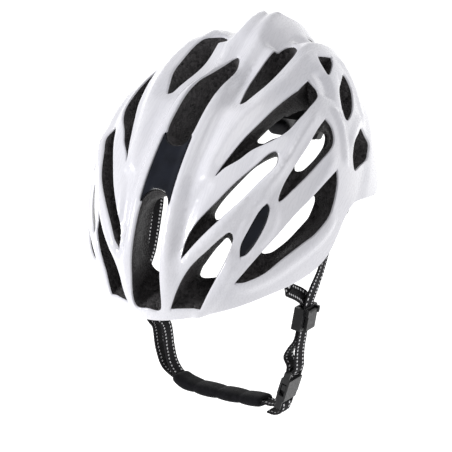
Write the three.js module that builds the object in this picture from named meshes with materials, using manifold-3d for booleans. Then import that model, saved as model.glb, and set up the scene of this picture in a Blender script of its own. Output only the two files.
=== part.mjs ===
// Road cycling helmet: in-mould shell over a foam liner, webbing straps with a
// side-release buckle, and a dial-adjusted headband.
// Millimetres. +Z is up as worn, -Y is the front, +X is the wearer's left.
import * as THREE from 'three';
import { mergeVertices } from 'three/addons/utils/BufferGeometryUtils.js';
import Module from 'manifold-3d';

const wasm = await Module();
wasm.setup();

// ---- Driving dimensions -------------------------------------------------------------
const HALF_WIDTH = 102.6;        // of the shell, at the temples
const HALF_LENGTH = 144;         // of the shell's plan oval
const CENTRE = new THREE.Vector3(0, -6.8, 18.6);
const CROWN_RISE = 102.2;        // of the crown above CENTRE
const LOWER_DEPTH = 180;         // how slowly the side walls draw in below CENTRE
const PLAN_POWER = 1.73;         // squareness of the plan oval
const PROFILE_POWER = 2.3;       // squareness of the side profile
const SKIN = 2;                  // shell thickness
const GAP = 0.3;                 // between touching pieces
const HEAD_CENTRE_Y = -11;       // of the hollow for the head
const HEAD_HALF = { x: 78, y: 104, up: 74, down: 220 };
const RING_STEPS = 40;           // facets round the dome
const ARC_STEPS = 10;            // facets from crown to rim
const VENT_TAPER = 0.86;         // vent size at the head side, against its outer size

const WEB_WIDTH = 14;            // strap webbing
const WEB_THICK = 1.5;
const SLOT_WIDTH = 16;           // what webbing passes through
const PAD_THICK = 6;             // comfort pads
const PINION_RADIUS = 3;         // headband dial
const RACK_PITCH = Math.PI;      // tooth spacing of the racks
const DIAL_Z = -17;              // height of the dial's axis
const RACK_Y = 86;               // depth of the racks behind the origin

const COLOURS = {
  white: [0xe6e6ec, 0.25, 0],
  foam: [0x1b1a1c, 0.9, 0],
  gloss: [0x0b0c12, 0.2, 0],
  webbing: [0x121213, 0.85, 0],
  fabric: [0x161518, 0.95, 0],
  plastic: [0x2c2b30, 0.45, 0],
};

// ---- Small helpers ------------------------------------------------------------------
const rad = THREE.MathUtils.degToRad;
const vec = (x, y, z) => new THREE.Vector3(x, y, z);
const helmet = new THREE.Group();

function addPart(name, geometry, look) {
  const [color, roughness, metalness] = COLOURS[look];
  const material = new THREE.MeshStandardMaterial({ color, roughness, metalness });
  const mesh = new THREE.Mesh(geometry, material);
  mesh.name = name;
  helmet.add(mesh);
  return mesh;
}

// Adds a piece on the wearer's left and its mirror image on the right.
function addPair(name, makeGeometry, look) {
  addPart(`${name}_left`, makeGeometry(1), look);
  addPart(`${name}_right`, makeGeometry(-1), look);
}

function geometryOf(vertices, faces) {
  const geometry = new THREE.BufferGeometry();
  const positions = vertices.flatMap((v) => v.toArray());
  geometry.setAttribute('position', new THREE.Float32BufferAttribute(positions, 3));
  const outward = signedVolume(vertices, faces) > 0;
  geometry.setIndex(faces.flatMap(([a, b, c]) => (outward ? [a, b, c] : [a, c, b])));
  return geometry;
}

function signedVolume(vertices, faces) {
  const cross = new THREE.Vector3();
  const wedge = ([a, b, c]) => vertices[a].dot(cross.crossVectors(vertices[b], vertices[c]));
  return faces.reduce((sum, face) => sum + wedge(face), 0);
}

function solidOf(geometry) {
  const bare = geometry.clone();
  bare.deleteAttribute('normal');
  bare.deleteAttribute('uv');
  const merged = mergeVertices(bare, 1e-4);
  const mesh = new wasm.Mesh({
    numProp: 3,
    vertProperties: new Float32Array(merged.attributes.position.array),
    triVerts: new Uint32Array(merged.index.array),
  });
  return new wasm.Manifold(mesh);
}

function geometryFrom(solid) {
  const mesh = solid.getMesh();
  const geometry = new THREE.BufferGeometry();
  geometry.setAttribute('position', new THREE.BufferAttribute(new Float32Array(mesh.vertProperties), 3));
  geometry.setIndex(new THREE.BufferAttribute(new Uint32Array(mesh.triVerts), 1));
  return geometry;
}

const cut = (solid, tools) => tools.reduce((left, tool) => left.subtract(tool), solid);

// ---- Dome ---------------------------------------------------------------------------
// Distance from CENTRE to the outer surface along the unit direction d.
function domeRadius(d) {
  const plan = Math.abs(d.x / HALF_WIDTH) ** PLAN_POWER + Math.abs(d.y / HALF_LENGTH) ** PLAN_POWER;
  const height = d.z > 0 ? CROWN_RISE : LOWER_DEPTH;
  const powers = plan ** (PROFILE_POWER / PLAN_POWER) + Math.abs(d.z / height) ** PROFILE_POWER;
  const tailNarrowing = 0.05 * d.y * d.y * d.z - 0.075 * d.x * d.x * d.y + 0.012 * d.y ** 3;
  const shoulders = 0.08 * (d.x * d.y) ** 2;
  const far = (d.x ** 2 + (d.y - 0.55) ** 2 + (d.z - 0.83) ** 2) / 0.35 ** 2;
  const rearDip = 0.17 * Math.exp(-far);
  return powers ** (-1 / PROFILE_POWER) * (1 + tailNarrowing + shoulders - rearDip);
}

// Distance from CENTRE to the hollow for the head.
function headRadius(d) {
  const from = vec(0, CENTRE.y - HEAD_CENTRE_Y, 0);
  const up = d.z > 0 ? HEAD_HALF.up : HEAD_HALF.down;
  const inverse = vec(1 / HEAD_HALF.x, 1 / HEAD_HALF.y, 1 / up);
  const a = from.clone().multiply(inverse);
  const b = d.clone().multiply(inverse);
  const half = a.dot(b);
  return (-half + Math.sqrt(half * half - b.dot(b) * (a.dot(a) - 1))) / b.dot(b);
}

// Height of the lower edge at the compass angle theta (0 front, 180 rear, degrees).
function rimHeight(theta) {
  const side = Math.abs(((theta + 180) % 360 + 360) % 360 - 180);
  const earArch = 27 * Math.exp(-(((side - 88) / 20) ** 2));
  const behindEar = -14 * Math.exp(-(((side - 118) / 16) ** 2));
  return 8 + 20.5 * Math.cos(rad(side)) + 14 * Math.cos(rad(2 * side)) + earArch + behindEar;
}

// Unit direction at psi degrees down from the crown, at the compass angle theta.
function direction(psi, theta) {
  const s = Math.sin(rad(psi));
  return vec(s * Math.sin(rad(theta)), -s * Math.cos(rad(theta)), Math.cos(rad(psi)));
}

const along = (d, r) => CENTRE.clone().addScaledVector(d, r);

// The angle psi where the outer surface meets its lower edge.
function rimAngle(theta) {
  let high = 60;
  let low = 130;
  for (let i = 0; i < 40; i += 1) {
    const psi = (high + low) / 2;
    const d = direction(psi, theta);
    if (along(d, domeRadius(d)).z > rimHeight(theta)) high = psi;
    else low = psi;
  }
  return high;
}

// A layer of the dome between two radius functions, closed along the lower edge.
function domeLayer(inner, outer) {
  const vertices = [inner, outer].map((radius) => along(vec(0, 0, 1), radius(vec(0, 0, 1))));
  for (let j = 1; j <= ARC_STEPS; j += 1) {
    for (let i = 0; i < RING_STEPS; i += 1) {
      const theta = (360 * i) / RING_STEPS;
      const d = direction((rimAngle(theta) * j) / ARC_STEPS, theta);
      vertices.push(along(d, inner(d)), along(d, outer(d)));
    }
  }
  const at = (i, j, side) => (j === 0 ? side : 2 + 2 * ((j - 1) * RING_STEPS + (i % RING_STEPS)) + side);
  const faces = [];
  for (let i = 0; i < RING_STEPS; i += 1) {
    for (let j = 0; j < ARC_STEPS; j += 1) {
      faces.push([at(i, j, 1), at(i, j + 1, 1), at(i + 1, j + 1, 1)]);
      faces.push([at(i, j, 0), at(i + 1, j + 1, 0), at(i, j + 1, 0)]);
      if (j > 0) {
        faces.push([at(i, j, 1), at(i + 1, j + 1, 1), at(i + 1, j, 1)]);
        faces.push([at(i, j, 0), at(i + 1, j, 0), at(i + 1, j + 1, 0)]);
      }
    }
    faces.push([at(i, ARC_STEPS, 1), at(i, ARC_STEPS, 0), at(i + 1, ARC_STEPS, 0)]);
    faces.push([at(i, ARC_STEPS, 1), at(i + 1, ARC_STEPS, 0), at(i + 1, ARC_STEPS, 1)]);
  }
  return solidOf(geometryOf(vertices, faces));
}

// ---- Outlines on the dome -----------------------------------------------------------
// Points are [across, along] in degrees from the crown: across is toward the wearer's
// left, along is toward the rear.
function directionAt([across, back]) {
  return direction(Math.hypot(across, back), THREE.MathUtils.radToDeg(Math.atan2(across, -back)));
}

const mirrored = (outline) => outline.map(([across, back]) => [-across, back]).reverse();

function scaled(outline, factor) {
  const n = outline.length;
  const middle = [0, 1].map((k) => outline.reduce((sum, point) => sum + point[k], 0) / n);
  return outline.map((point) => point.map((value, k) => middle[k] + (value - middle[k]) * factor));
}

// A plug that passes radially through the dome; taper is its size at the head side.
function radialPlug(outline, taper = 1) {
  const near = scaled(outline, taper).map((point) => along(directionAt(point), 35));
  const far = outline.map((point) => along(directionAt(point), 235));
  const n = outline.length;
  const faces = [];
  outline.forEach((_, i) => {
    const j = (i + 1) % n;
    faces.push([i, j, n + j], [i, n + j, n + i]);
  });
  const flat = outline.map(([across, back]) => new THREE.Vector2(across, back));
  const caps = THREE.ShapeUtils.triangulateShape(flat, []);
  const turn = THREE.ShapeUtils.isClockWise(flat);
  caps.forEach(([a, b, c]) => {
    const [p, q] = turn ? [b, c] : [c, b];
    faces.push([a, p, q], [n + a, n + q, n + p]);
  });
  return solidOf(geometryOf([...near, ...far], faces));
}

const VENTS_LEFT = {
  brow: [[10, -75], [14, -66], [20, -58], [27, -50], [32, -47], [33, -51], [30, -61], [24, -70], [21, -75]],
  forehead: [
    [14, -59], [15, -52], [20, -44], [28, -30], [37, -12],
    [42, -9], [42, -16], [36, -29], [27, -42], [19, -52],
  ],
  crown: [
    [21, -28], [24, -18], [29, -3], [34, 17], [36, 34],
    [43, 32], [43, 12], [39, -2], [31, -13], [24, -22],
  ],
  top: [[18, 8], [16, 24], [14, 42], [15, 54], [20, 54], [24, 42], [24, 25], [21, 15]],
  side: [[48, -27], [49, -17], [52, 4], [52, 23], [57, 23], [62, 14], [60, 2], [54, -18]],
  temple: [
    [36, -64], [45, -51], [57, -29], [67, -5], [70, 5],
    [75, -3], [76, -17], [70, -32], [58, -48], [45, -61],
  ],
  rear_inner: [[30, 52], [32, 60], [36, 57], [40, 48], [36, 47]],
  rear_middle: [[41, 61], [48, 61], [57, 51], [60, 38], [53, 42], [47, 50]],
  rear_outer: [[67, 54], [75, 58], [83, 43], [81, 21], [73, 28], [69, 41]],
  tail: [[14, 70], [14, 82], [22, 84], [26, 74], [22, 68]],
};
const VENTS_CENTRE = {
  front: [[0, -38], [5.5, -42], [6, -58], [6, -75], [-6, -75], [-6, -58], [-5.5, -42]],
  crown: [
    [0, -19], [5.5, -15], [5, 0], [4.5, 15], [2.5, 30],
    [0, 39], [-2.5, 30], [-4.5, 15], [-5, 0], [-5.5, -15],
  ],
  tail: [[0, 62], [5, 66], [7, 78], [0, 83], [-7, 78], [-5, 66]],
};
// Where a vent's opening at the head side isn't just its own outline made smaller.
const HEAD_SIDE = {
  brow: [[31, -54], [28, -57], [25, -61], [21.5, -66], [19, -69.5], [18, -74], [27, -73.5], [30.5, -68.5],
    [33, -63], [34, -57.5]],
  forehead: [[22.5, -46.5], [24, -41], [31, -27.5], [38, -13], [45.5, -1.5], [48.5, -3], [45, -17],
    [35.5, -35], [26, -46.5]],
  crown: [[32.5, 0], [34, 8], [38, 27], [42, 44], [45, 47], [47, 37], [46.5, 24], [42.5, 10], [37, 1]],
  side: [[58, -2], [56, 5], [56, 20], [57, 35], [61, 36], [64.5, 27], [64.5, 13], [61.5, 0]],
  temple: [[51, -56], [57, -42], [63, -29.5], [69, -18], [75.5, -6.5], [79.5, -9], [79.5, -20], [77.5, -27],
    [70, -41], [64, -49], [57, -55.5]],
};
const FRONT_HEAD_SIDE = [[0, -41], [7, -42], [13.5, -45], [14.5, -54], [14.5, -64], [12.5, -72], [6, -75],
  [-6, -75], [-12.5, -72], [-14.5, -64], [-14.5, -54], [-13.5, -45], [-7, -42]];
const BRIDGE = [
  [6.5, -15.5], [0, -20.5], [-6.5, -15.5], [-6.5, -28],
  [-6.5, -41], [0, -37], [6.5, -41], [6.5, -28],
];
const SIDE_INSERT = [[37, -54], [36.5, -48], [40, -38], [45, -31], [46, -36], [44, -46], [41, -53]];

// Points at the given shares of a closed outline's length, from its point 0.
function pointsAlong(outline, shares) {
  const next = (i) => outline[(i + 1) % outline.length];
  const lengths = outline.map((point, i) => Math.hypot(next(i)[0] - point[0], next(i)[1] - point[1]));
  const total = lengths.reduce((a, b) => a + b);
  return shares.map((share) => {
    let rest = (((share % 1) + 1) % 1) * total;
    let i = 0;
    while (rest > lengths[i] && i < outline.length - 1) {
      rest -= lengths[i];
      i += 1;
    }
    return outline[i].map((value, k) => value + ((next(i)[k] - value) * rest) / lengths[i]);
  });
}

const signedArea = (outline) => outline.reduce((sum, [x, y], i) => {
  const [nextX, nextY] = outline[(i + 1) % outline.length];
  return sum + x * nextY - nextX * y;
}, 0);

// The head-side outline as many points as the outer one, each facing its own.
function facing(inner, outer) {
  const turned = signedArea(inner) * signedArea(outer) > 0 ? inner : [...inner].reverse();
  const n = outer.length;
  const middle = (outline) => [0, 1].map((k) => outline.reduce((sum, point) => sum + point[k], 0) / n);
  const tries = 48;
  let best = { cost: Infinity };
  for (let start = 0; start < tries; start += 1) {
    const points = pointsAlong(turned, outer.map((_, i) => start / tries + i / n));
    const [a, b] = [middle(points), middle(outer)];
    const cost = points.reduce((sum, point, i) => (
      sum + (point[0] - a[0] - outer[i][0] + b[0]) ** 2 + (point[1] - a[1] - outer[i][1] + b[1]) ** 2
    ), 0);
    if (cost < best.cost) best = { cost, points };
  }
  return best.points;
}

// A plug through the liner, lofted from the head-side outline to the outer one.
function loftedPlug(outline, headSide) {
  const n = 20;
  const outer = pointsAlong(outline, Array.from({ length: n }, (_, i) => i / n));
  const inner = facing(headSide, outer);
  const outerDirections = outer.map(directionAt);
  const innerDirections = inner.map(directionAt);
  const rings = [
    innerDirections.map((d) => along(d, 35)),
    innerDirections.map((d) => along(d, headRadius(d))),
    outerDirections.map((d) => along(d, domeRadius(d))),
    outerDirections.map((d) => along(d, 235)),
  ];
  const faces = [];
  for (let ring = 0; ring < 3; ring += 1) {
    for (let i = 0; i < n; i += 1) {
      const j = (i + 1) % n;
      const [low, high] = [ring * n, (ring + 1) * n];
      faces.push([low + i, low + j, high + j], [low + i, high + j, high + i]);
    }
  }
  const turn = signedArea(outer) < 0;
  const cap = (points, base, flip) => {
    const flat = points.map(([across, back]) => new THREE.Vector2(across, back));
    THREE.ShapeUtils.triangulateShape(flat, []).forEach(([a, b, c]) => {
      faces.push(flip ? [base + a, base + b, base + c] : [base + a, base + c, base + b]);
    });
  };
  cap(inner, 0, turn);
  cap(outer, 3 * n, !turn);
  return solidOf(geometryOf(rings.flat(), faces));
}

const shellPlugs = () => [
  ...Object.values(VENTS_CENTRE).map((outline) => radialPlug(outline)),
  ...Object.values(VENTS_LEFT).map((outline) => radialPlug(outline)),
  ...Object.values(VENTS_LEFT).map((outline) => radialPlug(mirrored(outline))),
];

function linerPlugs() {
  const headSide = (name, outline) => HEAD_SIDE[name] ?? scaled(outline, VENT_TAPER);
  return [
    loftedPlug(VENTS_CENTRE.front, FRONT_HEAD_SIDE),
    radialPlug(VENTS_CENTRE.crown, VENT_TAPER),
    radialPlug(VENTS_CENTRE.tail, VENT_TAPER),
    ...Object.entries(VENTS_LEFT).flatMap(([name, outline]) => [
      loftedPlug(outline, headSide(name, outline)),
      loftedPlug(mirrored(outline), mirrored(headSide(name, outline))),
    ]),
  ];
}

const skinUnder = (d) => domeRadius(d) - SKIN;
const foamOver = (d) => domeRadius(d) - SKIN - GAP;
const padOver = (d) => headRadius(d) - GAP;
const padUnder = (d) => headRadius(d) - GAP - PAD_THICK;

function buildShellAndLiner() {
  const trimOpenings = [BRIDGE, SIDE_INSERT, mirrored(SIDE_INSERT)].map((outline) => radialPlug(outline));
  const shell = cut(domeLayer(skinUnder, domeRadius), [...shellPlugs(), ...trimOpenings]);
  const liner = cut(domeLayer(headRadius, foamOver), linerPlugs());
  addPart('outer_shell', geometryFrom(shell), 'white');
  addPart('eps_liner', geometryFrom(liner), 'foam');
}

function buildTrim() {
  const layer = domeLayer(skinUnder, (d) => domeRadius(d) + 0.6);
  const trim = (outline) => geometryFrom(layer.intersect(radialPlug(scaled(outline, 0.96))));
  addPart('centre_bridge', trim(BRIDGE), 'gloss');
  addPart('side_insert_left', trim(SIDE_INSERT), 'gloss');
  addPart('side_insert_right', trim(mirrored(SIDE_INSERT)), 'gloss');
}

// ---- Comfort pads -------------------------------------------------------------------
const BROW_PAD = [[0, -76.6], [16, -76], [30, -73], [42, -63], [46, -58], [50, -60], [44, -69], [32, -77],
  [16, -81.5], [0, -82], [-16, -81.5], [-32, -77], [-44, -69], [-50, -60], [-46, -58], [-42, -63], [-30, -73],
  [-16, -76]];
const CROWN_PAD = [[-3.5, -36], [3.5, -36], [5, -30], [5, -21.5], [-5, -21.5], [-5, -30]];
const RIDGE_PAD = [[9, -38], [14, -37], [19, -24], [25, -6], [24, 3], [16, 5], [11, -8]];
const TEMPLE_PAD = [[67, -3], [71.5, -5], [75, 8], [76, 24], [70, 27], [68, 12]];

function buildPads() {
  const layer = domeLayer(padUnder, padOver);
  const pad = (outline) => geometryFrom(layer.intersect(radialPlug(outline)));
  const side = (outline, hand) => pad(hand > 0 ? outline : mirrored(outline));
  addPart('brow_pad', pad(BROW_PAD), 'fabric');
  addPart('crown_pad', pad(CROWN_PAD), 'fabric');
  addPair('ridge_pad', (hand) => side(RIDGE_PAD, hand), 'fabric');
  addPair('temple_pad', (hand) => side(TEMPLE_PAD, hand), 'fabric');
}

// ---- Straps -------------------------------------------------------------------------
// A flat band through stations [x, y, z, wx, wy, wz]: a centre and a width direction.
function band(stations, width, thick) {
  const centres = stations.map(([x, y, z]) => vec(x, y, z));
  const vertices = [];
  stations.forEach(([, , , wx, wy, wz], i) => {
    const before = centres[Math.max(i - 1, 0)];
    const after = centres[Math.min(i + 1, centres.length - 1)];
    const run = after.clone().sub(before).normalize();
    const across = vec(wx, wy, wz);
    across.addScaledVector(run, -across.dot(run)).normalize().multiplyScalar(width / 2);
    const through = run.clone().cross(across).normalize().multiplyScalar(thick / 2);
    for (const [a, b] of [[1, 1], [-1, 1], [-1, -1], [1, -1]]) {
      vertices.push(centres[i].clone().addScaledVector(across, a).addScaledVector(through, b));
    }
  });
  const faces = [[0, 1, 2], [0, 2, 3]];
  const last = 4 * (stations.length - 1);
  for (let i = 0; i < last; i += 4) {
    for (let k = 0; k < 4; k += 1) {
      const m = (k + 1) % 4;
      faces.push([i + k, i + 4 + k, i + 4 + m], [i + k, i + 4 + m, i + m]);
    }
  }
  faces.push([last, last + 2, last + 1], [last, last + 3, last + 2]);
  return geometryOf(vertices, faces);
}

// Smooth stations through the hand-set ones.
function smooth(stations, steps) {
  const route = new THREE.CatmullRomCurve3(stations.map(([x, y, z]) => vec(x, y, z)), false, 'centripetal');
  const widths = stations.map(([, , , x, y, z]) => vec(x, y, z));
  const twist = new THREE.CatmullRomCurve3(widths, false, 'centripetal');
  return Array.from({ length: steps + 1 }, (_, i) => [
    ...route.getPoint(i / steps).toArray(), ...twist.getPoint(i / steps).toArray(),
  ]);
}

const mirrorX = (stations) => stations.map(([x, y, z, wx, wy, wz]) => [-x, y, z, -wx, wy, wz]);
const handed = (stations, hand) => (hand > 0 ? stations : mirrorX(stations));

// A frame with its x across the webbing, y along the run and z out of its face.
function webFrame(origin, run, across = LOOP_NORMAL) {
  const y = run.clone().normalize();
  const x = across.clone().addScaledVector(y, -across.dot(y)).normalize();
  const z = x.clone().cross(y);
  const at = (a, b, c) => {
    const point = origin.clone().addScaledVector(x, a);
    return point.addScaledVector(y, b).addScaledVector(z, c);
  };
  return { origin, x, y, z, at };
}

function inFrame(geometry, frame) {
  const matrix = new THREE.Matrix4().makeBasis(frame.x, frame.y, frame.z).setPosition(frame.origin);
  return geometry.applyMatrix4(matrix);
}

// A block from its low and high corners.
function block([x0, y0, z0], [x1, y1, z1]) {
  const box = new THREE.BoxGeometry(x1 - x0, y1 - y0, z1 - z0);
  return solidOf(box.translate((x0 + x1) / 2, (y0 + y1) / 2, (z0 + z1) / 2));
}

function rod(radius, from, to, sides = 10) {
  const axis = to.clone().sub(from);
  const cylinder = new THREE.CylinderGeometry(radius, radius, axis.length(), sides);
  const turn = new THREE.Quaternion().setFromUnitVectors(vec(0, 1, 0), axis.clone().normalize());
  const middle = from.clone().add(to).multiplyScalar(0.5);
  return solidOf(cylinder.applyQuaternion(turn).translate(...middle.toArray()));
}

const joined = (solids) => solids.reduce((a, b) => a.add(b));
const flipX = (solid) => solid.mirror([1, 0, 0]);

// The chin loop lies in one plane; the webbing stands across it.
const LOOP_NORMAL = vec(0, -0.78, 0.63);
const DIVIDER_AT = vec(68, -71, -40);
const DIVIDER_RUN = vec(-8, -27.5, -34.5);
const BUCKLE_AT = vec(59.6, -99.5, -75.5);
const BUCKLE_RUN = vec(-0.305, -0.594, -0.745);
const PLUG_BAR = 28.2;           // from the socket's bar to the plug's bar
const BAR_RADIUS = 1.2;
const WRAP = BAR_RADIUS + 0.5 + WEB_THICK / 2;   // from a bar to the middle of webbing round it
const LAYER = 1.1;               // half the spacing of two layers of webbing

const divider = (hand) => webFrame(
  DIVIDER_AT.clone().setX(hand * DIVIDER_AT.x),
  DIVIDER_RUN.clone().setX(hand * DIVIDER_RUN.x),
);
const buckle = webFrame(BUCKLE_AT, BUCKLE_RUN);

// A station in a frame, with the webbing across the loop.
const station = (frame, a, b, c) => [...frame.at(a, b, c).toArray(), ...LOOP_NORMAL.toArray()];

// Underside of the liner at the compass angle theta, inset from the hollow's edge.
function underside(theta, inset) {
  const d = direction(rimAngle(theta), theta);
  return along(d, headRadius(d) + inset);
}

// Compass angle, inset from the hollow's edge, and which way the webbing faces there.
const FRONT_ANCHOR = { theta: 47, inset: 8, face: 1 };
const REAR_ANCHOR = { theta: 104, inset: 6, face: -1 };

function anchorFrame({ theta, inset }, hand) {
  const run = underside(theta + 4, inset).sub(underside(theta - 4, inset));
  const out = underside(theta, inset + 5).sub(underside(theta, inset - 5));
  const down = run.clone().cross(out).normalize();
  if (down.z > 0) down.negate();
  const origin = underside(theta, inset).addScaledVector(down, 1);
  const flip = vec(hand, 1, 1);
  return webFrame(origin.multiply(flip), down.multiply(flip), run.multiply(flip));
}

function buildAnchors() {
  const plate = () => joined([
    block([-10, 0, -4], [10, 2.4, 4]),
    block([-8.5, 2.4, -2.5], [8.5, 4, 2.5]),
  ]);
  const fixed = (anchor) => (hand) => inFrame(geometryFrom(plate()), anchorFrame(anchor, hand));
  addPair('front_strap_anchor', fixed(FRONT_ANCHOR), 'plastic');
  addPair('rear_strap_anchor', fixed(REAR_ANCHOR), 'plastic');
}

const anchorStation = (anchor, depth) => {
  const frame = anchorFrame(anchor, 1);
  return [...frame.at(0, depth, 0).toArray(), ...frame.x.clone().multiplyScalar(anchor.face).toArray()];
};

// Upper run of each strap, wearer's left, from its anchor through the divider.
function upperRun(anchor, waypoints, side) {
  const frame = divider(1);
  return [
    anchorStation(anchor, 4.9),
    anchorStation(anchor, 9),
    ...waypoints,
    station(frame, 0, -12, side * (LAYER + 0.7)),
    station(frame, 0, 0, side * LAYER),
    station(frame, 0, 19, side * (LAYER + 0.2)),
  ];
}
const FRONT_WAY = [[65, -72, -3, 0.3, -0.8, 0.5]];
const REAR_WAY = [[77, -12, -11, 0.2, -0.75, 0.6], [73.5, -42, -25, 0.1, -0.8, 0.6]];

function buildLeftStraps() {
  const d = divider(1);
  const front = [
    ...upperRun(FRONT_ANCHOR, FRONT_WAY, -1),
    station(d, 0, 27, -5), station(d, 0, 35, -7),
    station(buckle, 0, -5, -3.6), station(buckle, 0, 0, -WRAP),
    station(buckle, 0, 0.7 * WRAP, -0.7 * WRAP), station(buckle, 0, WRAP, 0),
    station(buckle, 0, 0.5 * WRAP, 0.87 * WRAP),
  ];
  const rear = [
    ...upperRun(REAR_ANCHOR, REAR_WAY, 1),
    station(d, 0, 27, 1.4), station(d, 0, 35, 2.4),
    station(buckle, 0, -5, 3), station(buckle, 0, -1, WRAP),
  ];
  addPart('front_strap_left', band(smooth(front, 40), WEB_WIDTH, WEB_THICK), 'webbing');
  addPart('rear_strap_left', band(smooth(rear, 36), WEB_WIDTH, WEB_THICK), 'webbing');
}

const PAD_ROUTE = [
  [-45, -107, -98.3], [-36, -110.6, -100.6], [-22, -112.5, -101.4], [-4, -113.7, -101], [20, -115, -99.5],
  [36, -116, -97.5],
];
const PAD_FACE = vec(0, 0.63, 0.78);
const loopStation = (x, y, z) => [x, y, z, ...LOOP_NORMAL.toArray()];
const padStation = ([x, y, z], lift) => loopStation(x, y + lift * PAD_FACE.y, z + lift * PAD_FACE.z);

function buildRightStraps() {
  const front = [
    ...mirrorX(upperRun(FRONT_ANCHOR, FRONT_WAY, -1)),
    loopStation(-56.5, -83.5, -66), loopStation(-54, -94, -83), loopStation(-51, -101, -91.5),
    ...PAD_ROUTE.slice(0, 3).map((point) => padStation(point, LAYER)),
  ];
  const rear = [
    ...mirrorX(upperRun(REAR_ANCHOR, REAR_WAY, 1)),
    loopStation(-64, -83.5, -66), loopStation(-62, -94, -83), loopStation(-56.5, -102.5, -94),
    ...PAD_ROUTE.slice(0, 3).map((point) => padStation(point, -LAYER)),
  ];
  addPart('front_strap_right', band(smooth(front, 34), WEB_WIDTH, WEB_THICK), 'webbing');
  addPart('rear_strap_right', band(smooth(rear, 37), WEB_WIDTH, WEB_THICK), 'webbing');
}

// The chin strap leaves the pad, wraps the plug's bar and hangs back as a tail.
function buildChinStrap() {
  const bar = PLUG_BAR;
  const stations = [
    loopStation(-20, -112.7, -101.3), ...PAD_ROUTE.slice(3).map((point) => loopStation(...point)),
    loopStation(43, -116.6, -97.6),
    station(buckle, 0, bar + 0.6, -WRAP), station(buckle, 0, bar - 0.7 * WRAP, -0.7 * WRAP),
    station(buckle, 0, bar - WRAP, 0), station(buckle, 0, bar - 0.7 * WRAP, 0.7 * WRAP),
    station(buckle, 0, bar + 0.6, WRAP), station(buckle, 0, bar + 5, 2.2),
    station(buckle, 0, bar + 8.5, -2), station(buckle, 0, bar + 9.5, -8),
  ];
  addPart('chin_strap', band(smooth(stations, 44), WEB_WIDTH, WEB_THICK), 'webbing');
}

// A soft sleeve round the chin strap.
function buildChinPad() {
  const route = PAD_ROUTE.map((point) => loopStation(...point));
  const stations = (grow) => smooth(route, 14).map((s, i, all) => {
    if (i !== 0 && i !== all.length - 1) return s;
    const next = all[i === 0 ? 1 : i - 1];
    return s.map((value, k) => (k < 3 ? value + (value - next[k]) * grow : value));
  });
  const outer = solidOf(band(stations(0), 21, 10));
  const slot = solidOf(band(stations(0.2), SLOT_WIDTH, 5));
  addPart('chin_pad', geometryFrom(outer.subtract(slot)), 'fabric');
}

// ---- Strap hardware -----------------------------------------------------------------
const LEVER_PIVOT = { y: -6, z: 5.8 };

function buildDividers() {
  const lugs = [-1, 1].map((side) => {
    const lug = block([6.9, -8.5, 3.4], [8.9, -3.5, 7.6]);
    return side > 0 ? lug : flipX(lug);
  });
  const pinHole = rod(1.2, vec(-10, LEVER_PIVOT.y, LEVER_PIVOT.z), vec(10, LEVER_PIVOT.y, LEVER_PIVOT.z));
  const body = joined([block([-11, -9, -3.9], [11, 9, 3.9]), ...lugs])
    .subtract(block([-SLOT_WIDTH / 2, -10, -2.7], [SLOT_WIDTH / 2, 10, 2.7]))
    .subtract(pinHole);
  const { y: pivotY, z: pivotZ } = LEVER_PIVOT;
  const lever = joined([
    block([-6.6, pivotY, 4.5], [6.6, 8.5, 7]),
    rod(1.3, vec(-6.6, pivotY, pivotZ), vec(6.6, pivotY, pivotZ)),
    rod(0.9, vec(-8.6, pivotY, pivotZ), vec(8.6, pivotY, pivotZ)),
  ]);
  const handedSolid = (solid, hand) => (hand > 0 ? solid : solid.mirror([0, 0, 1]));
  const place = (solid, hand) => inFrame(geometryFrom(handedSolid(solid, hand)), divider(hand));
  addPair('strap_divider', (hand) => place(body, hand), 'plastic');
  addPair('divider_lever', (hand) => place(lever, hand), 'plastic');
}

function buildBuckle() {
  const lug = block([8.2, -BAR_RADIUS, -2.6], [10, 6, 2.6]);
  const socket = joined([
    rod(BAR_RADIUS, vec(-9, 0, 0), vec(9, 0, 0)), lug, flipX(lug),
    block([-10, 4.4, -3.8], [10, 18, 3.8]),
  ])
    .subtract(block([-7.4, 6.2, -2.2], [7.4, 19, 2.2]))
    .subtract(block([-11, 8, -2.2], [11, 19, 2.2]));
  const plugLug = block([8.3, 22, -2.6], [9.6, PLUG_BAR + BAR_RADIUS, 2.6]);
  const plug = joined([
    block([-9.6, 18.4, -3.6], [9.6, 22.5, 3.6]), plugLug, flipX(plugLug),
    rod(BAR_RADIUS, vec(-9, PLUG_BAR, 0), vec(9, PLUG_BAR, 0)),
    block([-1.6, 8, -1.7], [1.6, 18.5, 1.7]),
  ]);
  const prong = joined([
    block([4.8, 9, -1.7], [6.6, 18, 1.7]),
    block([6.5, 9.2, -1.7], [9.4, 13.8, 1.7]),
  ]);
  addPart('buckle_socket', inFrame(geometryFrom(socket), buckle), 'plastic');
  addPart('buckle_plug', inFrame(geometryFrom(plug), buckle), 'plastic');
  addPart('buckle_prong_front', inFrame(geometryFrom(prong), buckle), 'plastic');
  addPart('buckle_prong_rear', inFrame(geometryFrom(flipX(prong)), buckle), 'plastic');
}

// ---- Headband -----------------------------------------------------------------------
const PIN_AT = vec(74.6, -1, 29);      // wearer's left temple, on the hollow's wall
const ARM_ROUTE = [
  [71.3, -1, 29], [71.3, 6, 27], [71, 14, 20.5], [69.6, 24, 10.5], [66, 35, 1], [57, 54, -9], [46, 74, -15.5],
  [42, 82, -16.5], [37, 87.5, DIAL_Z], [31, 89.4, DIAL_Z], [24.4, 89.6, DIAL_Z],
];
const HOUSING = { half: 24, y0: 81, y1: 96, height: 22 };

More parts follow.
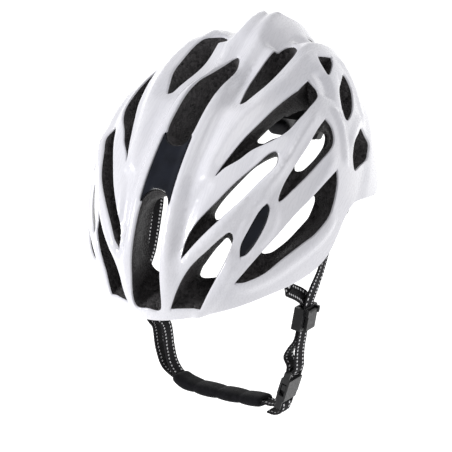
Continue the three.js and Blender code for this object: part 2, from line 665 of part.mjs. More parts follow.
function buildHeadband() {
  const wall = (hand) => vec(hand * PIN_AT.x, PIN_AT.y, PIN_AT.z);
  const inward = (hand, distance) => wall(hand).setX(hand * (PIN_AT.x - distance));
  const pin = (hand) => joined([
    rod(8, inward(hand, 0.2), inward(hand, 1.8), 16),
    rod(2.2, inward(hand, 1.6), inward(hand, 4.6)),
  ]);
  const arm = (hand) => joined([
    solidOf(band(smooth(handed(ARM_ROUTE.map((point) => [...point, 0, 0, 1]), hand), 22), 10, 1.8)),
    rod(7, inward(hand, 2.2), inward(hand, 4.2), 16),
  ]).subtract(rod(2.5, inward(hand, -1), inward(hand, 8)));
  addPair('headband_pin', (hand) => geometryFrom(pin(hand)), 'plastic');
  addPair('headband_arm', (hand) => geometryFrom(arm(hand)), 'plastic');
}

function gearOutline(teeth, rootRadius, tipRadius, toothAngle) {
  const shape = new THREE.Shape();
  for (let i = 0; i < teeth; i += 1) {
    const middle = (2 * Math.PI * i) / teeth;
    const corners = [[rootRadius, -1], [tipRadius, -0.5], [tipRadius, 0.5], [rootRadius, 1]];
    corners.forEach(([r, side], k) => {
      const angle = middle + side * toothAngle;
      const point = [r * Math.cos(angle), r * Math.sin(angle)];
      if (i === 0 && k === 0) shape.moveTo(...point);
      else shape.lineTo(...point);
    });
  }
  return shape;
}

// An extrusion of an outline in X and Z, running toward the rear from y0 to y1.
function extrudeRearward(shape, y0, y1) {
  const geometry = new THREE.ExtrudeGeometry(shape, { depth: y1 - y0, bevelEnabled: false });
  return solidOf(geometry.rotateX(Math.PI / 2).translate(0, y1, DIAL_Z));
}

function buildDial() {
  const pinion = joined([
    extrudeRearward(gearOutline(6, 1.9, 3.7, 0.26), RACK_Y - 1.2, RACK_Y + 1.2),
    rod(1.8, vec(0, RACK_Y, DIAL_Z), vec(0, HOUSING.y1 + 1, DIAL_Z), 12),
  ]);
  const knob = extrudeRearward(gearOutline(18, 11, 12, 0.11), HOUSING.y1 + 0.5, HOUSING.y1 + 9)
    .subtract(rod(1.8 + GAP, vec(0, HOUSING.y1, DIAL_Z), vec(0, HOUSING.y1 + 1.3, DIAL_Z), 12));
  addPart('dial_pinion', geometryFrom(pinion), 'plastic');
  addPart('dial_knob', geometryFrom(knob), 'plastic');
}

function buildRacks() {
  const pitchGap = PINION_RADIUS + 1.2;
  const tooth = (x) => block(
    [x - 0.5, RACK_Y - 1, PINION_RADIUS - 0.6],
    [x + 0.5, RACK_Y + 1, pitchGap + 0.2],
  );
  const teeth = [-3, -2, -1, 0, 1, 2, 3, 4].map((k) => tooth(k * RACK_PITCH));
  const strip = block([-12, RACK_Y - 1, pitchGap], [34, RACK_Y + 1, pitchGap + 3]);
  const rack = joined([strip, ...teeth]);
  const lift = (solid) => geometryFrom(solid).translate(0, 0, DIAL_Z);
  addPart('rack_left', lift(rack), 'plastic');
  addPart('rack_right', lift(rack.rotate([0, 180, 0])), 'plastic');
}

function buildHousing() {
  const { half, y0, y1, height } = HOUSING;
  const low = DIAL_Z - height / 2;
  const slot = block([-half - 1, RACK_Y - 1.6, DIAL_Z - 7.6], [half + 1, RACK_Y + 1.6, DIAL_Z + 7.6]);
  const shaftHole = rod(2.2, vec(0, RACK_Y, DIAL_Z), vec(0, y1 + 1, DIAL_Z), 12);
  const outline = new THREE.Shape();
  const corner = 6;
  outline.absarc(half - corner, height / 2 - corner, corner, 0, Math.PI / 2);
  outline.absarc(-half + corner, height / 2 - corner, corner, Math.PI / 2, Math.PI);
  outline.absarc(-half + corner, -height / 2 + corner, corner, Math.PI, 1.5 * Math.PI);
  outline.absarc(half - corner, -height / 2 + corner, corner, 1.5 * Math.PI, 2 * Math.PI);
  const extrusion = { depth: y1 - y0, bevelEnabled: false, curveSegments: 4 };
  const shell = new THREE.ExtrudeGeometry(outline, extrusion);
  const solid = solidOf(shell.rotateX(Math.PI / 2).translate(0, y1, DIAL_Z));
  const rearSlots = block([-half - 1, RACK_Y + 2.4, low + 4], [-half + 2, y1 - 2, low + height - 4]);
  const hollows = [slot, shaftHole, rearSlots.mirror([1, 0, 0]), rearSlots];
  addPart('dial_housing', geometryFrom(cut(solid, hollows)), 'plastic');
  const pad = (hand) => {
    const x = [hand * 3, hand * 21].sort((a, b) => a - b);
    return geometryFrom(block([x[0], y0 - 4.3, low + 3], [x[1], y0 - GAP, low + height - 3]));
  };
  addPair('occipital_pad', pad, 'fabric');
}

buildShellAndLiner();
buildTrim();
buildPads();
buildAnchors();
buildLeftStraps();
buildRightStraps();
buildChinStrap();
buildChinPad();
buildDividers();
buildBuckle();
buildHeadband();
buildDial();
buildRacks();
buildHousing();

export default helmet;
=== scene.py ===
import math

import bpy
import numpy as np
from mathutils import Matrix, Vector
from mathutils.geometry import delaunay_2d_cdt


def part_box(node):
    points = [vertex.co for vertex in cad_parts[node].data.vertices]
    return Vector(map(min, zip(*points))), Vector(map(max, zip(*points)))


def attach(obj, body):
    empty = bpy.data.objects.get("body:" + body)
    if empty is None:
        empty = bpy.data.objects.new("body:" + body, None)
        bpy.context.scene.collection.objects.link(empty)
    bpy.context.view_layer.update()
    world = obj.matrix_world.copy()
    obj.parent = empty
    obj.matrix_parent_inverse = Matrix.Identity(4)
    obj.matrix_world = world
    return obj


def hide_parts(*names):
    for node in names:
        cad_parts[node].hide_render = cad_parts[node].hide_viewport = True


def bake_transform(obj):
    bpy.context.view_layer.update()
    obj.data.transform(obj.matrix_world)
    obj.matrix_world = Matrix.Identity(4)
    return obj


# Road cycling helmet: the looks, built round the frame. Lengths are in millimetres until make_mesh().
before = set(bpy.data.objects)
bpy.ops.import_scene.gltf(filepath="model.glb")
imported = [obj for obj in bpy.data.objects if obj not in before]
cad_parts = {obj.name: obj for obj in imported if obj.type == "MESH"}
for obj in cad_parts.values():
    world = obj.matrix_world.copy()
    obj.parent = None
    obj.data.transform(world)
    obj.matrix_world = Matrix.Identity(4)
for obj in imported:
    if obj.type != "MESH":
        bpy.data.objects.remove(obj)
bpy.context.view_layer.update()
MM = 0.001

# ---- Driving dimensions (as in the frame) ----
HALF_WIDTH, HALF_LENGTH = 102.6, 144.0
CENTRE = np.array([0.0, -6.8, 18.6])
CROWN_RISE, LOWER_DEPTH = 102.2, 180.0
PLAN_POWER, PROFILE_POWER = 1.73, 2.3
HEAD_CENTRE_Y = -11.0
HEAD_HALF = (78.0, 104.0, 74.0, 220.0)
SKIN = 1.5                    # visible thickness of the shell
GAP = 0.3
GRID = 1.0     # mesh spacing on the dome, degrees


# ---- Dome ----
def dome_radius(d):
    x, y, z = d[..., 0], d[..., 1], d[..., 2]
    plan = np.abs(x / HALF_WIDTH) ** PLAN_POWER + np.abs(y / HALF_LENGTH) ** PLAN_POWER
    height = np.where(z > 0, CROWN_RISE, LOWER_DEPTH)
    powers = plan ** (PROFILE_POWER / PLAN_POWER) + np.abs(z / height) ** PROFILE_POWER
    tail = 0.05 * y * y * z - 0.075 * x * x * y + 0.012 * y ** 3
    shoulders = 0.08 * (x * y) ** 2
    far = (x ** 2 + (y - 0.55) ** 2 + (z - 0.83) ** 2) / 0.35 ** 2
    return powers ** (-1 / PROFILE_POWER) * (1 + tail + shoulders - 0.17 * np.exp(-far))


def head_radius(d):
    up = np.where(d[..., 2] > 0, HEAD_HALF[2], HEAD_HALF[3])
    a = np.zeros(d.shape)
    a[..., 1] = (CENTRE[1] - HEAD_CENTRE_Y) / HEAD_HALF[1]
    b = np.stack([d[..., 0] / HEAD_HALF[0], d[..., 1] / HEAD_HALF[1], d[..., 2] / up], -1)
    half = (a * b).sum(-1)
    square = (b * b).sum(-1)
    return (-half + np.sqrt(half ** 2 - square * ((a * a).sum(-1) - 1))) / square


def rim_height(theta):
    """Height of the lower edge at the compass angle theta, degrees from the front."""
    side = np.abs((theta + 180) % 360 - 180)
    arch = 27 * np.exp(-((side - 88) / 20) ** 2) - 14 * np.exp(-((side - 118) / 16) ** 2)
    turn = np.radians(side)
    return 8 + 20.5 * np.cos(turn) + 14 * np.cos(2 * turn) + arch


def direction(across, back):
    """Unit directions for points in degrees from the crown: toward the left, toward the rear."""
    across, back = np.asarray(across, float), np.asarray(back, float)
    psi = np.radians(np.hypot(across, back))
    theta = np.arctan2(across, -back)
    return np.stack([np.sin(psi) * np.sin(theta), -np.sin(psi) * np.cos(theta), np.cos(psi)], -1)


def rim_outline(count, rise=0.0):
    """Closed outline of the lower edge, in degrees from the crown."""
    theta = np.arange(count) * 360 / count
    turn = np.radians(theta)
    high, low = np.full(count, 60.0), np.full(count, 130.0)
    for _ in range(40):
        psi = (high + low) / 2
        d = direction(psi * np.sin(turn), -psi * np.cos(turn))
        above = CENTRE[2] + dome_radius(d) * d[:, 2] > rim_height(theta) + rise
        high, low = np.where(above, psi, high), np.where(above, low, psi)
    return np.stack([high * np.sin(turn), -high * np.cos(turn)], -1)


# ---- Outlines in degrees from the crown, wearer's left ----
# name: (outline, shift of the opening at the head side, its size along and across)
VENTS = {
    "brow": ([(10, -75.5), (12, -71), (14.5, -66), (18.5, -60), (24, -54), (28.5, -49), (31.5, -46.5), (33,
                                                                                                        -48),
              (33, -51), (31, -57.5), (28, -64), (24.5, -70.5), (22, -75)], (3.2, 6.5), 0.62, 0.72),
    "forehead": ([(14, -59), (15, -53), (18, -46.5), (24, -37.5), (29.5, -28), (35, -18.5), (38.5, -11),
                  (41, -8.5),
                  (42.5, -11), (42, -16), (38, -24.5), (33, -34), (27, -42.5), (19.5, -52)], (4, 8), 0.7,
                  0.85),
    "crown": ([(21, -28), (24, -18.5), (27, -8.5), (30, 1), (33, 13.5), (36, 27), (36.2, 35.5), (43.2,
                                                                                                 32.5),
                                                                                                 (44, 22),
               (43, 11.5), (41.5, 3.5), (37.5, -4.5), (31.5, -12.5), (28, -18.5), (23.5, -24)], (1.2, 2),
               0.86, 0.85),
    "top": ([(18.5, 8), (16.8, 16), (15, 29), (14, 42), (14.6, 53), (16.5, 56), (19.5, 54), (23, 48),
             (24.3, 39),
             (24, 25), (21.5, 15)], (0.5, -2), 0.84, 0.8),
    "side": ([(48, -27.5), (48.4, -20), (50.5, -8), (52, 4), (52.2, 15), (52.4, 24), (57, 23), (61, 18.5),
              (62, 12),
              (60.2, 2), (57, -10), (53, -20), (49.5, -27)], (0, -1), 0.8, 0.8),
    "temple": ([(36, -64.5), (40, -59), (46, -50), (52, -40), (58, -27.5), (63.5, -15), (67.5, -3), (70, 5.5),
                (73.5, -1), (76, -12), (75.5, -21), (71, -32), (63.5, -42), (57, -49.5), (49, -58), (41,
                                                                                                     -63)],
               (-1, 0), 0.78, 0.7),
    "rear_inner": ([(30, 52), (32.5, 60.5), (36, 56.5), (39.5, 48), (35, 49)], (0, -1), 0.8, 0.8),
    "rear_middle": ([(41, 61.5), (47.5, 61.5), (55, 54), (59, 46), (60, 38), (54, 41.5), (48.5, 46.5), (45,
                                                                                                        53)],
                    (0, -1), 0.8, 0.8),
    "rear_outer": ([(67, 54.5), (74, 58.5), (79.5, 51), (82.5, 43), (82, 31), (80, 20.5), (73.5, 27),
                    (70.5, 33),
                    (69, 43)], (-1, -1), 0.8, 0.8),
    "tail": ([(14, 70), (14, 82), (18, 85), (22, 83.5), (26, 74), (24, 69), (19, 67)], (0, -1), 0.8, 0.8),
}
CENTRE_VENTS = {
    "front": ([(0, -38.5), (3.5, -39.5), (5.6, -43), (6, -53), (6.2, -64), (6, -75.5), (0, -76), (-6, -75.5),
               (-6.2, -64), (-6, -53), (-5.6, -43), (-3.5, -39.5)], (0, 5), 0.8, 0.85),
    "crest": ([(0, -19.5), (3.8, -18), (5.9, -13), (6.2, -2), (6.4, 10), (6.2, 22), (4.4, 33), (0, 41),
               (-4.4, 33),
               (-6.2, 22), (-6.4, 10), (-6.2, -2), (-5.9, -13), (-3.8, -18)], (0, 0), 0.85, 0.8),
    "tail": ([(0, 61), (3.6, 63), (6, 69), (7, 78), (4.5, 83), (0, 84), (-4.5, 83), (-7, 78), (-6, 69),
              (-3.6, 63)],
             (0, -1), 0.8, 0.8),
}
# Openings at the head side, where they aren't just the outer ones made smaller.
HEAD_SIDE = {
    "brow": [(31, -54), (28, -57), (25, -61), (21.5, -66), (19, -69.5), (18, -74), (27, -73.5), (30.5, -68.5),
             (33, -63), (34, -57.5)],
    "forehead": [(22.5, -46.5), (24, -41), (31, -27.5), (38, -13), (45.5, -1.5), (48.5, -3), (45, -17),
                 (35.5, -35), (26, -46.5)],
    "crown": [(32.5, 0), (34, 8), (38, 27), (42, 44), (45, 47), (47, 37), (46.5, 24), (42.5, 10), (37, 1)],
    "side": [(58, -2), (56, 5), (56, 20), (57, 35), (61, 36), (64.5, 27), (64.5, 13), (61.5, 0)],
    "temple": [(51, -56), (57, -42), (63, -29.5), (69, -18), (75.5, -6.5), (79.5, -9), (79.5, -20), (77.5,
                                                                                                     -27),
               (70, -41), (64, -49), (57, -55.5)],
}
FRONT_HEAD_SIDE = [(0, -41), (7, -42), (13.5, -45), (14.5, -54), (14.5, -64), (12.5, -72), (6, -75), (-6,
                                                                                                      -75),
                   (-12.5, -72), (-14.5, -64), (-14.5, -54), (-13.5, -45), (-7, -42)]
INSERT = [(37, -54.5), (36.8, -50), (39, -43), (41.5, -35.5), (44, -31), (45.6, -33), (45.4, -39), (43.2,
                                                                                                    -46.5),
          (40, -52.5)]
BRIDGE_SIDE = 6.3
CORNER_VENTS = {"crown": (5, 6), "side": (4, 5), "rear_inner": (0, 1), "temple": (0, 7), "forehead": (0,),
                "brow": (0, 12)}


def area_sign(loop):
    after = np.roll(loop, -1, axis=0)
    return 1 if np.sum(loop[:, 0] * after[:, 1] - after[:, 0] * loop[:, 1]) > 0 else -1


def mirror(points):
    return [(-a, b) for a, b in points][::-1]


def smooth_closed(points, step, corners=()):
    """Closed Catmull-Rom outline sampled about every step degrees; corners keep their angle."""
    pts = np.array(points, float)
    n = len(pts)
    out = []
    for i in range(n):
        p0, p1, p2, p3 = pts[i - 1], pts[i], pts[(i + 1) % n], pts[(i + 2) % n]
        if i in corners:
            p0 = 2 * p1 - p2
        if (i + 1) % n in corners:
            p3 = 2 * p2 - p1
        count = max(2, int(round(np.linalg.norm(p2 - p1) / step)))
        t = (np.arange(count) / count)[:, None]
        out.append(0.5 * (2 * p1 + (p2 - p0) * t + (2 * p0 - 5 * p1 + 4 * p2 - p3) * t ** 2
                          + (3 * p1 - p0 - 3 * p2 + p3) * t ** 3))
    return np.vstack(out)


def smooth_open(points, step):
    pts = np.array(points, float)
    ends = np.vstack([2 * pts[0] - pts[1], pts, 2 * pts[-1] - pts[-2]])
    out = []
    for i in range(1, len(ends) - 2):
        p0, p1, p2, p3 = ends[i - 1:i + 3]
        count = max(1, int(round(np.linalg.norm(p2 - p1) / step)))
        t = (np.arange(count) / count)[:, None]
        out.append(0.5 * (2 * p1 + (p2 - p0) * t + (2 * p0 - 5 * p1 + 4 * p2 - p3) * t ** 2
                          + (3 * p1 - p0 - 3 * p2 + p3) * t ** 3))
    return np.vstack(out + [pts[-1:]])


def scaled_along(outline, shift, along, across):
    """Scales an outline about its middle along and across its long axis, then shifts it."""
    middle = outline.mean(0)
    offset = outline - middle
    _, _, axes = np.linalg.svd(offset, full_matrices=False)
    local = offset @ axes.T * np.array([along, across])
    return middle + np.array(shift) + local @ axes


def points_along(outline, shares):
    """Points at the given shares of a closed outline's length."""
    closed = np.vstack([outline, outline[:1]])
    length = np.concatenate([[0], np.cumsum(np.linalg.norm(np.diff(closed, axis=0), axis=1))])
    at = (shares % 1) * length[-1]
    return np.stack([np.interp(at, length, closed[:, k]) for k in (0, 1)], -1)


def facing(inner, outer):
    """The head-side outline with as many points as the outer one, each facing its own."""
    if area_sign(inner) != area_sign(outer):
        inner = inner[::-1]
    step = np.linalg.norm(np.roll(outer, -1, 0) - outer, axis=1)
    shares = np.concatenate([[0], np.cumsum(step)[:-1]]) / step.sum()
    best = None
    for start in range(96):
        points = points_along(inner, shares + start / 96)
        cost = ((points - points.mean(0) - outer + outer.mean(0)) ** 2).sum()
        if best is None or cost < best[0]:
            best = (cost, points)
    return best[1]


def all_vents():
    """(name, outline, head-side outline) for every vent."""
    rows = []
    for name, (points, shift, along, across) in CENTRE_VENTS.items():
        outline = smooth_closed(points, 0.9)
        inner = facing(smooth_closed(FRONT_HEAD_SIDE, 0.9), outline) if name == "front" else \
            scaled_along(outline, shift, along, across)
        rows.append((f"centre_{name}", outline, inner))
    for name, (points, shift, along, across) in VENTS.items():
        corners = CORNER_VENTS.get(name, ())
        left = smooth_closed(points, 0.9, corners)
        if name in HEAD_SIDE:
            inner = facing(smooth_closed(HEAD_SIDE[name], 0.9), left)
        else:
            inner = scaled_along(left, shift, along, across)
        rows.append((name + "_left", left, inner))
        flip = np.array([-1, 1])
        rows.append((name + "_right", (left * flip)[::-1], (inner * flip)[::-1]))
    return rows


# ---- Relief of the shell ----
# Ridges (positive) and grooves (negative): points, height in mm, half width in degrees, sharpness.
FEATURES = [
    ([(8.5, -79), (9, -68), (8.6, -50), (8, -30), (7.4, -12), (7, 10), (6, 30), (5, 48),
      (3.6, 62), (2.4, 78)], 3.4, 4.4, 1.1),
    ([(2.5, 44), (2, 56), (1.4, 68), (1, 84)], 2.4, 6.0, 1.2),
    ([(11.5, -63), (12.2, -49), (13.6, -27), (14, -6), (14, 10), (10.5, 30), (10, 50)], -3.0, 4.5, 1.0),
    ([(12, -62), (15.5, -42), (19.5, -29)], -2.4, 3.4, 1.1),
    ([(17.5, 2), (17, 20), (16, 38), (16, 54), (17, 68)], -3.6, 7.5, 1.0),
    ([(14, 46), (13, 60), (14, 72), (15.5, 90)], -8.5, 9.5, 1.0),
    ([(15, -36), (18, -20), (22, -2), (26, 14), (28.5, 30), (28, 44), (29, 56)], 2.6, 4.5, 1.2),
    ([(11.5, -63), (16, -59), (22, -53), (28, -44.5), (35.5, -31), (42.5, -18), (46, -6)], 3.4, 3.6, 1.0),
    ([(34.5, -51), (36.5, -42), (40.5, -30), (45, -15), (47, 4), (48.5, 26)], 2.6, 3.4, 1.1),
    ([(18.5, -80), (24, -74.5), (29, -69), (34, -59), (36, -56)], 2.0, 3.0, 1.0),
    ([(47, -54), (54, -41), (58.5, -30), (62, -16), (65, -2), (66, 16)], 1.6, 3.6, 1.2),
    ([(34, -68), (44, -63.5), (54, -57), (63, -48), (71, -38), (77, -27), (80, -12)], 2.2, 3.4, 1.0),
    ([(50, 34), (58, 31), (66, 24), (74, 12)], 2.4, 3.6, 1.1),
    ([(18, 58), (21, 68), (22, 80)], -4.5, 6, 1.0),
    ([(36, 44), (43, 40), (47, 34)], -2.6, 5, 1.2),
    ([(41, 57), (51, 44.5), (61, 34)], -1.2, 2.4, 1.2),
    ([(62, 58), (65, 44), (72, 22)], 2.0, 3.4, 1.3),
    ([(30, 66), (42, 68), (55, 63), (66, 60)], 1.6, 4, 1.3),
]
SETTLE = 2.0          # the panels between the ridges lie this far inside the dome
DISH = ((41.3, -42.5), (7.2, 14.5), 31, 1.8)      # middle, half sizes, turn and depth


def ease(value, start, end):
    """0 before start and 1 after end, smoothly."""
    t = np.clip((value - start) / (end - start), 0, 1)
    return t * t * (3 - 2 * t)


def segment_distance(points, line):
    """Distance of each point to a polyline, and how far along it the nearest place is (0 to 1)."""
    best = np.full(len(points), 1e9)
    where = np.zeros(len(points))
    total = len(line) - 1
    for i in range(total):
        a, b = line[i], line[i + 1]
        ab = b - a
        t = np.clip(((points - a) @ ab) / max(ab @ ab, 1e-12), 0, 1)
        gap = np.linalg.norm(points - a - t[:, None] * ab, axis=1)
        closer = gap < best
        best = np.where(closer, gap, best)
        where = np.where(closer, (i + t) / total, where)
    return best, where


FEATURE_LINES = [smooth_open(points, 3.0) for points, *_ in FEATURES]


def relief(points):
    """Height of the moulded shell above the smooth dome, in mm."""
    sided = np.stack([np.abs(points[:, 0]), points[:, 1]], -1)
    height = np.zeros(len(points))
    for (_, rise, width, sharp), line in zip(FEATURES, FEATURE_LINES):
        gap, where = segment_distance(sided, line)
        fade = np.clip(np.minimum(where, 1 - where) / 0.14, 0, 1)
        height += rise * fade * (3 - 2 * fade) * fade * np.clip(1 - gap / width, 0, 1) ** (sharp * 0.9)
    middle, size, turn, depth = DISH
    angle = math.radians(turn)
    offset = sided - np.array(middle)
    u = offset @ np.array([math.cos(angle), -math.sin(angle)])
    v = offset @ np.array([math.sin(angle), math.cos(angle)])
    bowl = np.clip(1 - (u / size[0]) ** 2 - (v / size[1]) ** 2, 0, 1)
    psi = np.hypot(points[:, 0], points[:, 1])
    settle = (1 - ease(-points[:, 1], 66, 76)) * (1 - ease(psi, 90, 98))
    return height - depth * np.clip(bowl * 3, 0, 1) - SETTLE * settle


# ---- Meshing a patch of the dome ----
def inside(points, polygon):
    """Even-odd test of points against a closed polygon."""
    x, y = points[:, 0], points[:, 1]
    result = np.zeros(len(points), bool)
    a = polygon
    b = np.roll(polygon, -1, axis=0)
    for (x0, y0), (x1, y1) in zip(a, b):
        if y0 == y1:
            continue
        crosses = ((y0 > y) != (y1 > y)) & (x < (x1 - x0) * (y - y0) / (y1 - y0) + x0)
        result ^= crosses
    return result


def nearest(points, samples):
    """Distance of each point to the nearest sample."""
    out = np.empty(len(points))
    for i in range(0, len(points), 2000):
        part = points[i:i + 2000]
        out[i:i + 2000] = np.sqrt(((part[:, None] - samples[None]) ** 2).sum(-1).min(1))
    return out


def offset_ring(outline, distance):
    """An outline moved outward by a distance, along its normals."""
    run = np.roll(outline, -1, 0) - np.roll(outline, 1, 0)
    run /= np.linalg.norm(run, axis=1)[:, None]
    after = np.roll(outline, -1, axis=0)
    area = 0.5 * np.sum(outline[:, 0] * after[:, 1] - after[:, 0] * outline[:, 1])
    return outline + np.stack([run[:, 1], -run[:, 0]], -1) * distance * (1 if area > 0 else -1)


def hex_grid(polygon, spacing):
    low, high = polygon.min(0), polygon.max(0)
    rows = np.arange(low[1], high[1] + spacing, spacing * 0.866)
    points = []
    for k, y in enumerate(rows):
        x = np.arange(low[0] + (k % 2) * spacing / 2, high[0] + spacing, spacing)
        points.append(np.stack([x, np.full(len(x), y)], -1))
    return np.vstack(points)


def triangulate(boundary, holes, spacing, lines=(), rings=()):
    """Triangles between a boundary and its holes. Returns points, triangles and the loops' indices."""
    loops = [boundary, *holes]
    fixed = np.vstack(loops)
    edges = []
    loop_rows = []
    start = 0
    for loop in loops:
        rows = np.arange(start, start + len(loop))
        loop_rows.append(rows)
        edges += [(int(a), int(b)) for a, b in zip(rows, np.roll(rows, -1))]
        start += len(loop)
    extra = []
    for distance in rings:
        extra.append(offset_ring(boundary, -distance))
        extra += [offset_ring(hole, distance) for hole in holes]
    samples = np.vstack([fixed, *extra]) if extra else fixed
    grid = hex_grid(boundary, spacing)
    grid = grid[inside(grid, boundary)]
    for hole in holes:
        grid = grid[~inside(grid, hole)]
    for line in lines:
        near = segment_distance(grid, line)[0] < 0.55 * spacing
        grid = grid[~near]
    grid = grid[nearest(grid, samples) > 0.6 * spacing]
    points = [fixed]
    for ring in extra:
        keep = inside(ring, boundary) & (nearest(ring, fixed) > 0.8 * min(rings))
        for hole in holes:
            keep &= ~inside(ring, hole)
        points.append(ring[keep])
    for line in lines:
        keep = inside(line, boundary) & (nearest(line, np.vstack(points)) > 0.35 * spacing)
        for hole in holes:
            keep &= ~inside(line, hole)
        points.append(line[keep])
    points.append(grid)
    points = np.vstack(points)
    result = delaunay_2d_cdt([Vector(p) for p in points], edges, [], 0, 1e-5)
    out = np.array([tuple(v) for v in result[0]])
    origin = np.full(len(points), -1)
    for row, ids in enumerate(result[3]):
        for one in ids:
            origin[one] = row
    triangles = np.array([f for f in result[2] if len(f) == 3])
    middle = out[triangles].mean(1)
    keep = inside(middle, boundary)
    for hole in holes:
        keep &= ~inside(middle, hole)
    return out, triangles[keep], [origin[rows] for rows in loop_rows]


# ---- Pieces ----
def make_mesh(name, vertices, faces, material, sharp=None, uv=None):
    """A smooth-shaded object from millimetre vertices; uv holds one (u, v) in mm for each vertex."""
    mesh = bpy.data.meshes.new(name)
    rows = [tuple(v) for v in np.asarray(vertices, float) * MM]
    mesh.from_pydata(rows, [], [tuple(int(i) for i in face) for face in faces])
    mesh.validate()
    mesh.polygons.foreach_set("use_smooth", [True] * len(mesh.polygons))
    if sharp is not None:
        mesh.set_sharp_from_angle(angle=math.radians(sharp))
    if uv is not None:
        layer = mesh.uv_layers.new(name="weave")
        corners = np.empty(len(mesh.loops), int)
        mesh.loops.foreach_get("vertex_index", corners)
        layer.data.foreach_set("uv", (np.asarray(uv, float)[corners] * MM).ravel())
    mesh.materials.append(material)
    piece = bpy.data.objects.new(name, mesh)
    bpy.context.scene.collection.objects.link(piece)
    return piece


def place(piece, body, slot, *nodes):
    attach(piece, body)
    if nodes:
        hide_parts(*nodes)
    return piece


def strip(first, second, flip=False):
    """Quads between two closed loops of vertex rows."""
    faces = []
    n = len(first)
    for i in range(n):
        j = (i + 1) % n
        quad = (first[i], first[j], second[j], second[i])
        faces.append(quad[::-1] if flip else quad)
    return faces


def outward(vertices, faces):
    """Faces turned so that the closed mesh's volume is positive."""
    v = np.asarray(vertices, float)
    total = 0.0
    for f in faces:
        for k in range(1, len(f) - 1):
            total += v[f[0]] @ np.cross(v[f[k]], v[f[k + 1]])
    return faces if total > 0 else [tuple(f)[::-1] for f in faces]


# ---- Materials ----
def material(name, colour, roughness, **settings):
    """A Principled material; returns it with its tree and shader node."""
    made = bpy.data.materials.new(name)
    made.use_nodes = True
    shader = made.node_tree.nodes["Principled BSDF"]
    shader.inputs["Base Color"].default_value = (*colour, 1)
    shader.inputs["Roughness"].default_value = roughness
    for key, value in settings.items():
        shader.inputs[key.replace("_", " ")].default_value = value
    return made, made.node_tree, shader


def node(tree, kind, **settings):
    made = tree.nodes.new(kind)
    for key, value in settings.items():
        if hasattr(made, key):
            setattr(made, key, value)
        else:
            made.inputs[key.replace("_", " ")].default_value = value
    return made


def ramp(tree, source, low, high, first, second):
    """A colour ramp from first to second between two positions of the source value."""
    made = tree.nodes.new("ShaderNodeValToRGB")
    made.color_ramp.elements[0].position = low
    made.color_ramp.elements[1].position = high
    made.color_ramp.elements[0].color = (*first, 1)
    made.color_ramp.elements[1].color = (*second, 1)
    tree.links.new(source, made.inputs["Fac"])
    return made.outputs["Color"]


def span(tree, source, low, high, out_low, out_high):
    made = node(tree, "ShaderNodeMapRange")
    made.inputs["From Min"].default_value = low
    made.inputs["From Max"].default_value = high
    made.inputs["To Min"].default_value = out_low
    made.inputs["To Max"].default_value = out_high
    tree.links.new(source, made.inputs["Value"])
    return made.outputs["Result"]


def position(tree):
    """Object coordinates of the piece, in metres."""
    return node(tree, "ShaderNodeTexCoord").outputs["Object"]


def noise(tree, scale, detail=3.0, where=None):
    made = node(tree, "ShaderNodeTexNoise", Scale=scale, Detail=detail)
    tree.links.new(where or position(tree), made.inputs["Vector"])
    return made.outputs["Fac"]


def bump(tree, shader, height, strength, distance, before=None):
    made = node(tree, "ShaderNodeBump", Strength=strength, Distance=distance)
    tree.links.new(height, made.inputs["Height"])
    if before is not None:
        tree.links.new(before, made.inputs["Normal"])
    tree.links.new(made.outputs["Normal"], shader.inputs["Normal"])
    return made.outputs["Normal"]


def shell_material():
    """Clear-coated white polycarbonate with faint waviness, dust and fine scuffs."""
    made, tree, shader = material("shell_white", (0.74, 0.74, 0.79), 0.3, Coat_Weight=0.6,
                                  Coat_Roughness=0.06,
                                  Specular_IOR_Level=0.5)
    tint = ramp(tree, noise(tree, 22), 0.3, 0.7, (0.70, 0.70, 0.755), (0.78, 0.775, 0.82))
    tree.links.new(tint, shader.inputs["Base Color"])
    scuffs = node(tree, "ShaderNodeTexNoise", Scale=900, Detail=2)
    stretch = node(tree, "ShaderNodeMapping")
    stretch.inputs["Scale"].default_value = (1, 0.08, 0.5)
    tree.links.new(position(tree), stretch.inputs["Vector"])
    tree.links.new(stretch.outputs["Vector"], scuffs.inputs["Vector"])
    tree.links.new(span(tree, scuffs.outputs["Fac"], 0.3, 0.75, 0.25, 0.31), shader.inputs["Roughness"])
    bump(tree, shader, noise(tree, 90, 1), 0.03, 0.0006)
    return made


def foam_material():
    """Black expanded foam: beads pressed together, each slightly domed and of its own tone."""
    made, tree, shader = material("foam_black", (0.018, 0.017, 0.018), 0.72, Specular_IOR_Level=0.35)
    cells = node(tree, "ShaderNodeTexVoronoi", Scale=420.0, Randomness=0.95)
    tree.links.new(position(tree), cells.inputs["Vector"])
    edges = node(tree, "ShaderNodeTexVoronoi", feature="DISTANCE_TO_EDGE", Scale=420.0, Randomness=0.95)
    tree.links.new(position(tree), edges.inputs["Vector"])
    tone = ramp(tree, cells.outputs["Color"], 0.0, 1.0, (0.006, 0.005, 0.006), (0.085, 0.08, 0.083))
    tree.links.new(tone, shader.inputs["Base Color"])
    tree.links.new(span(tree, cells.outputs["Color"], 0, 1, 0.5, 0.85), shader.inputs["Roughness"])
    bump(tree, shader, span(tree, edges.outputs["Distance"], 0, 0.25, 0, 1), 0.7, 0.0007)
    return made


def gloss_material():
    """Lacquered near-black trim with a faint navy cast."""
    made, tree, shader = material("trim_gloss", (0.006, 0.007, 0.012), 0.2, Coat_Weight=0.15,
                                  Coat_Roughness=0.04,
                                  Specular_IOR_Level=0.2)
    tint = ramp(tree, noise(tree, 60), 0.3, 0.7, (0.004, 0.005, 0.009), (0.010, 0.012, 0.020))
    tree.links.new(tint, shader.inputs["Base Color"])
    tree.links.new(span(tree, noise(tree, 500), 0.3, 0.7, 0.14, 0.26), shader.inputs["Roughness"])
    bump(tree, shader, noise(tree, 700, 2), 0.04, 0.0003)
    return made


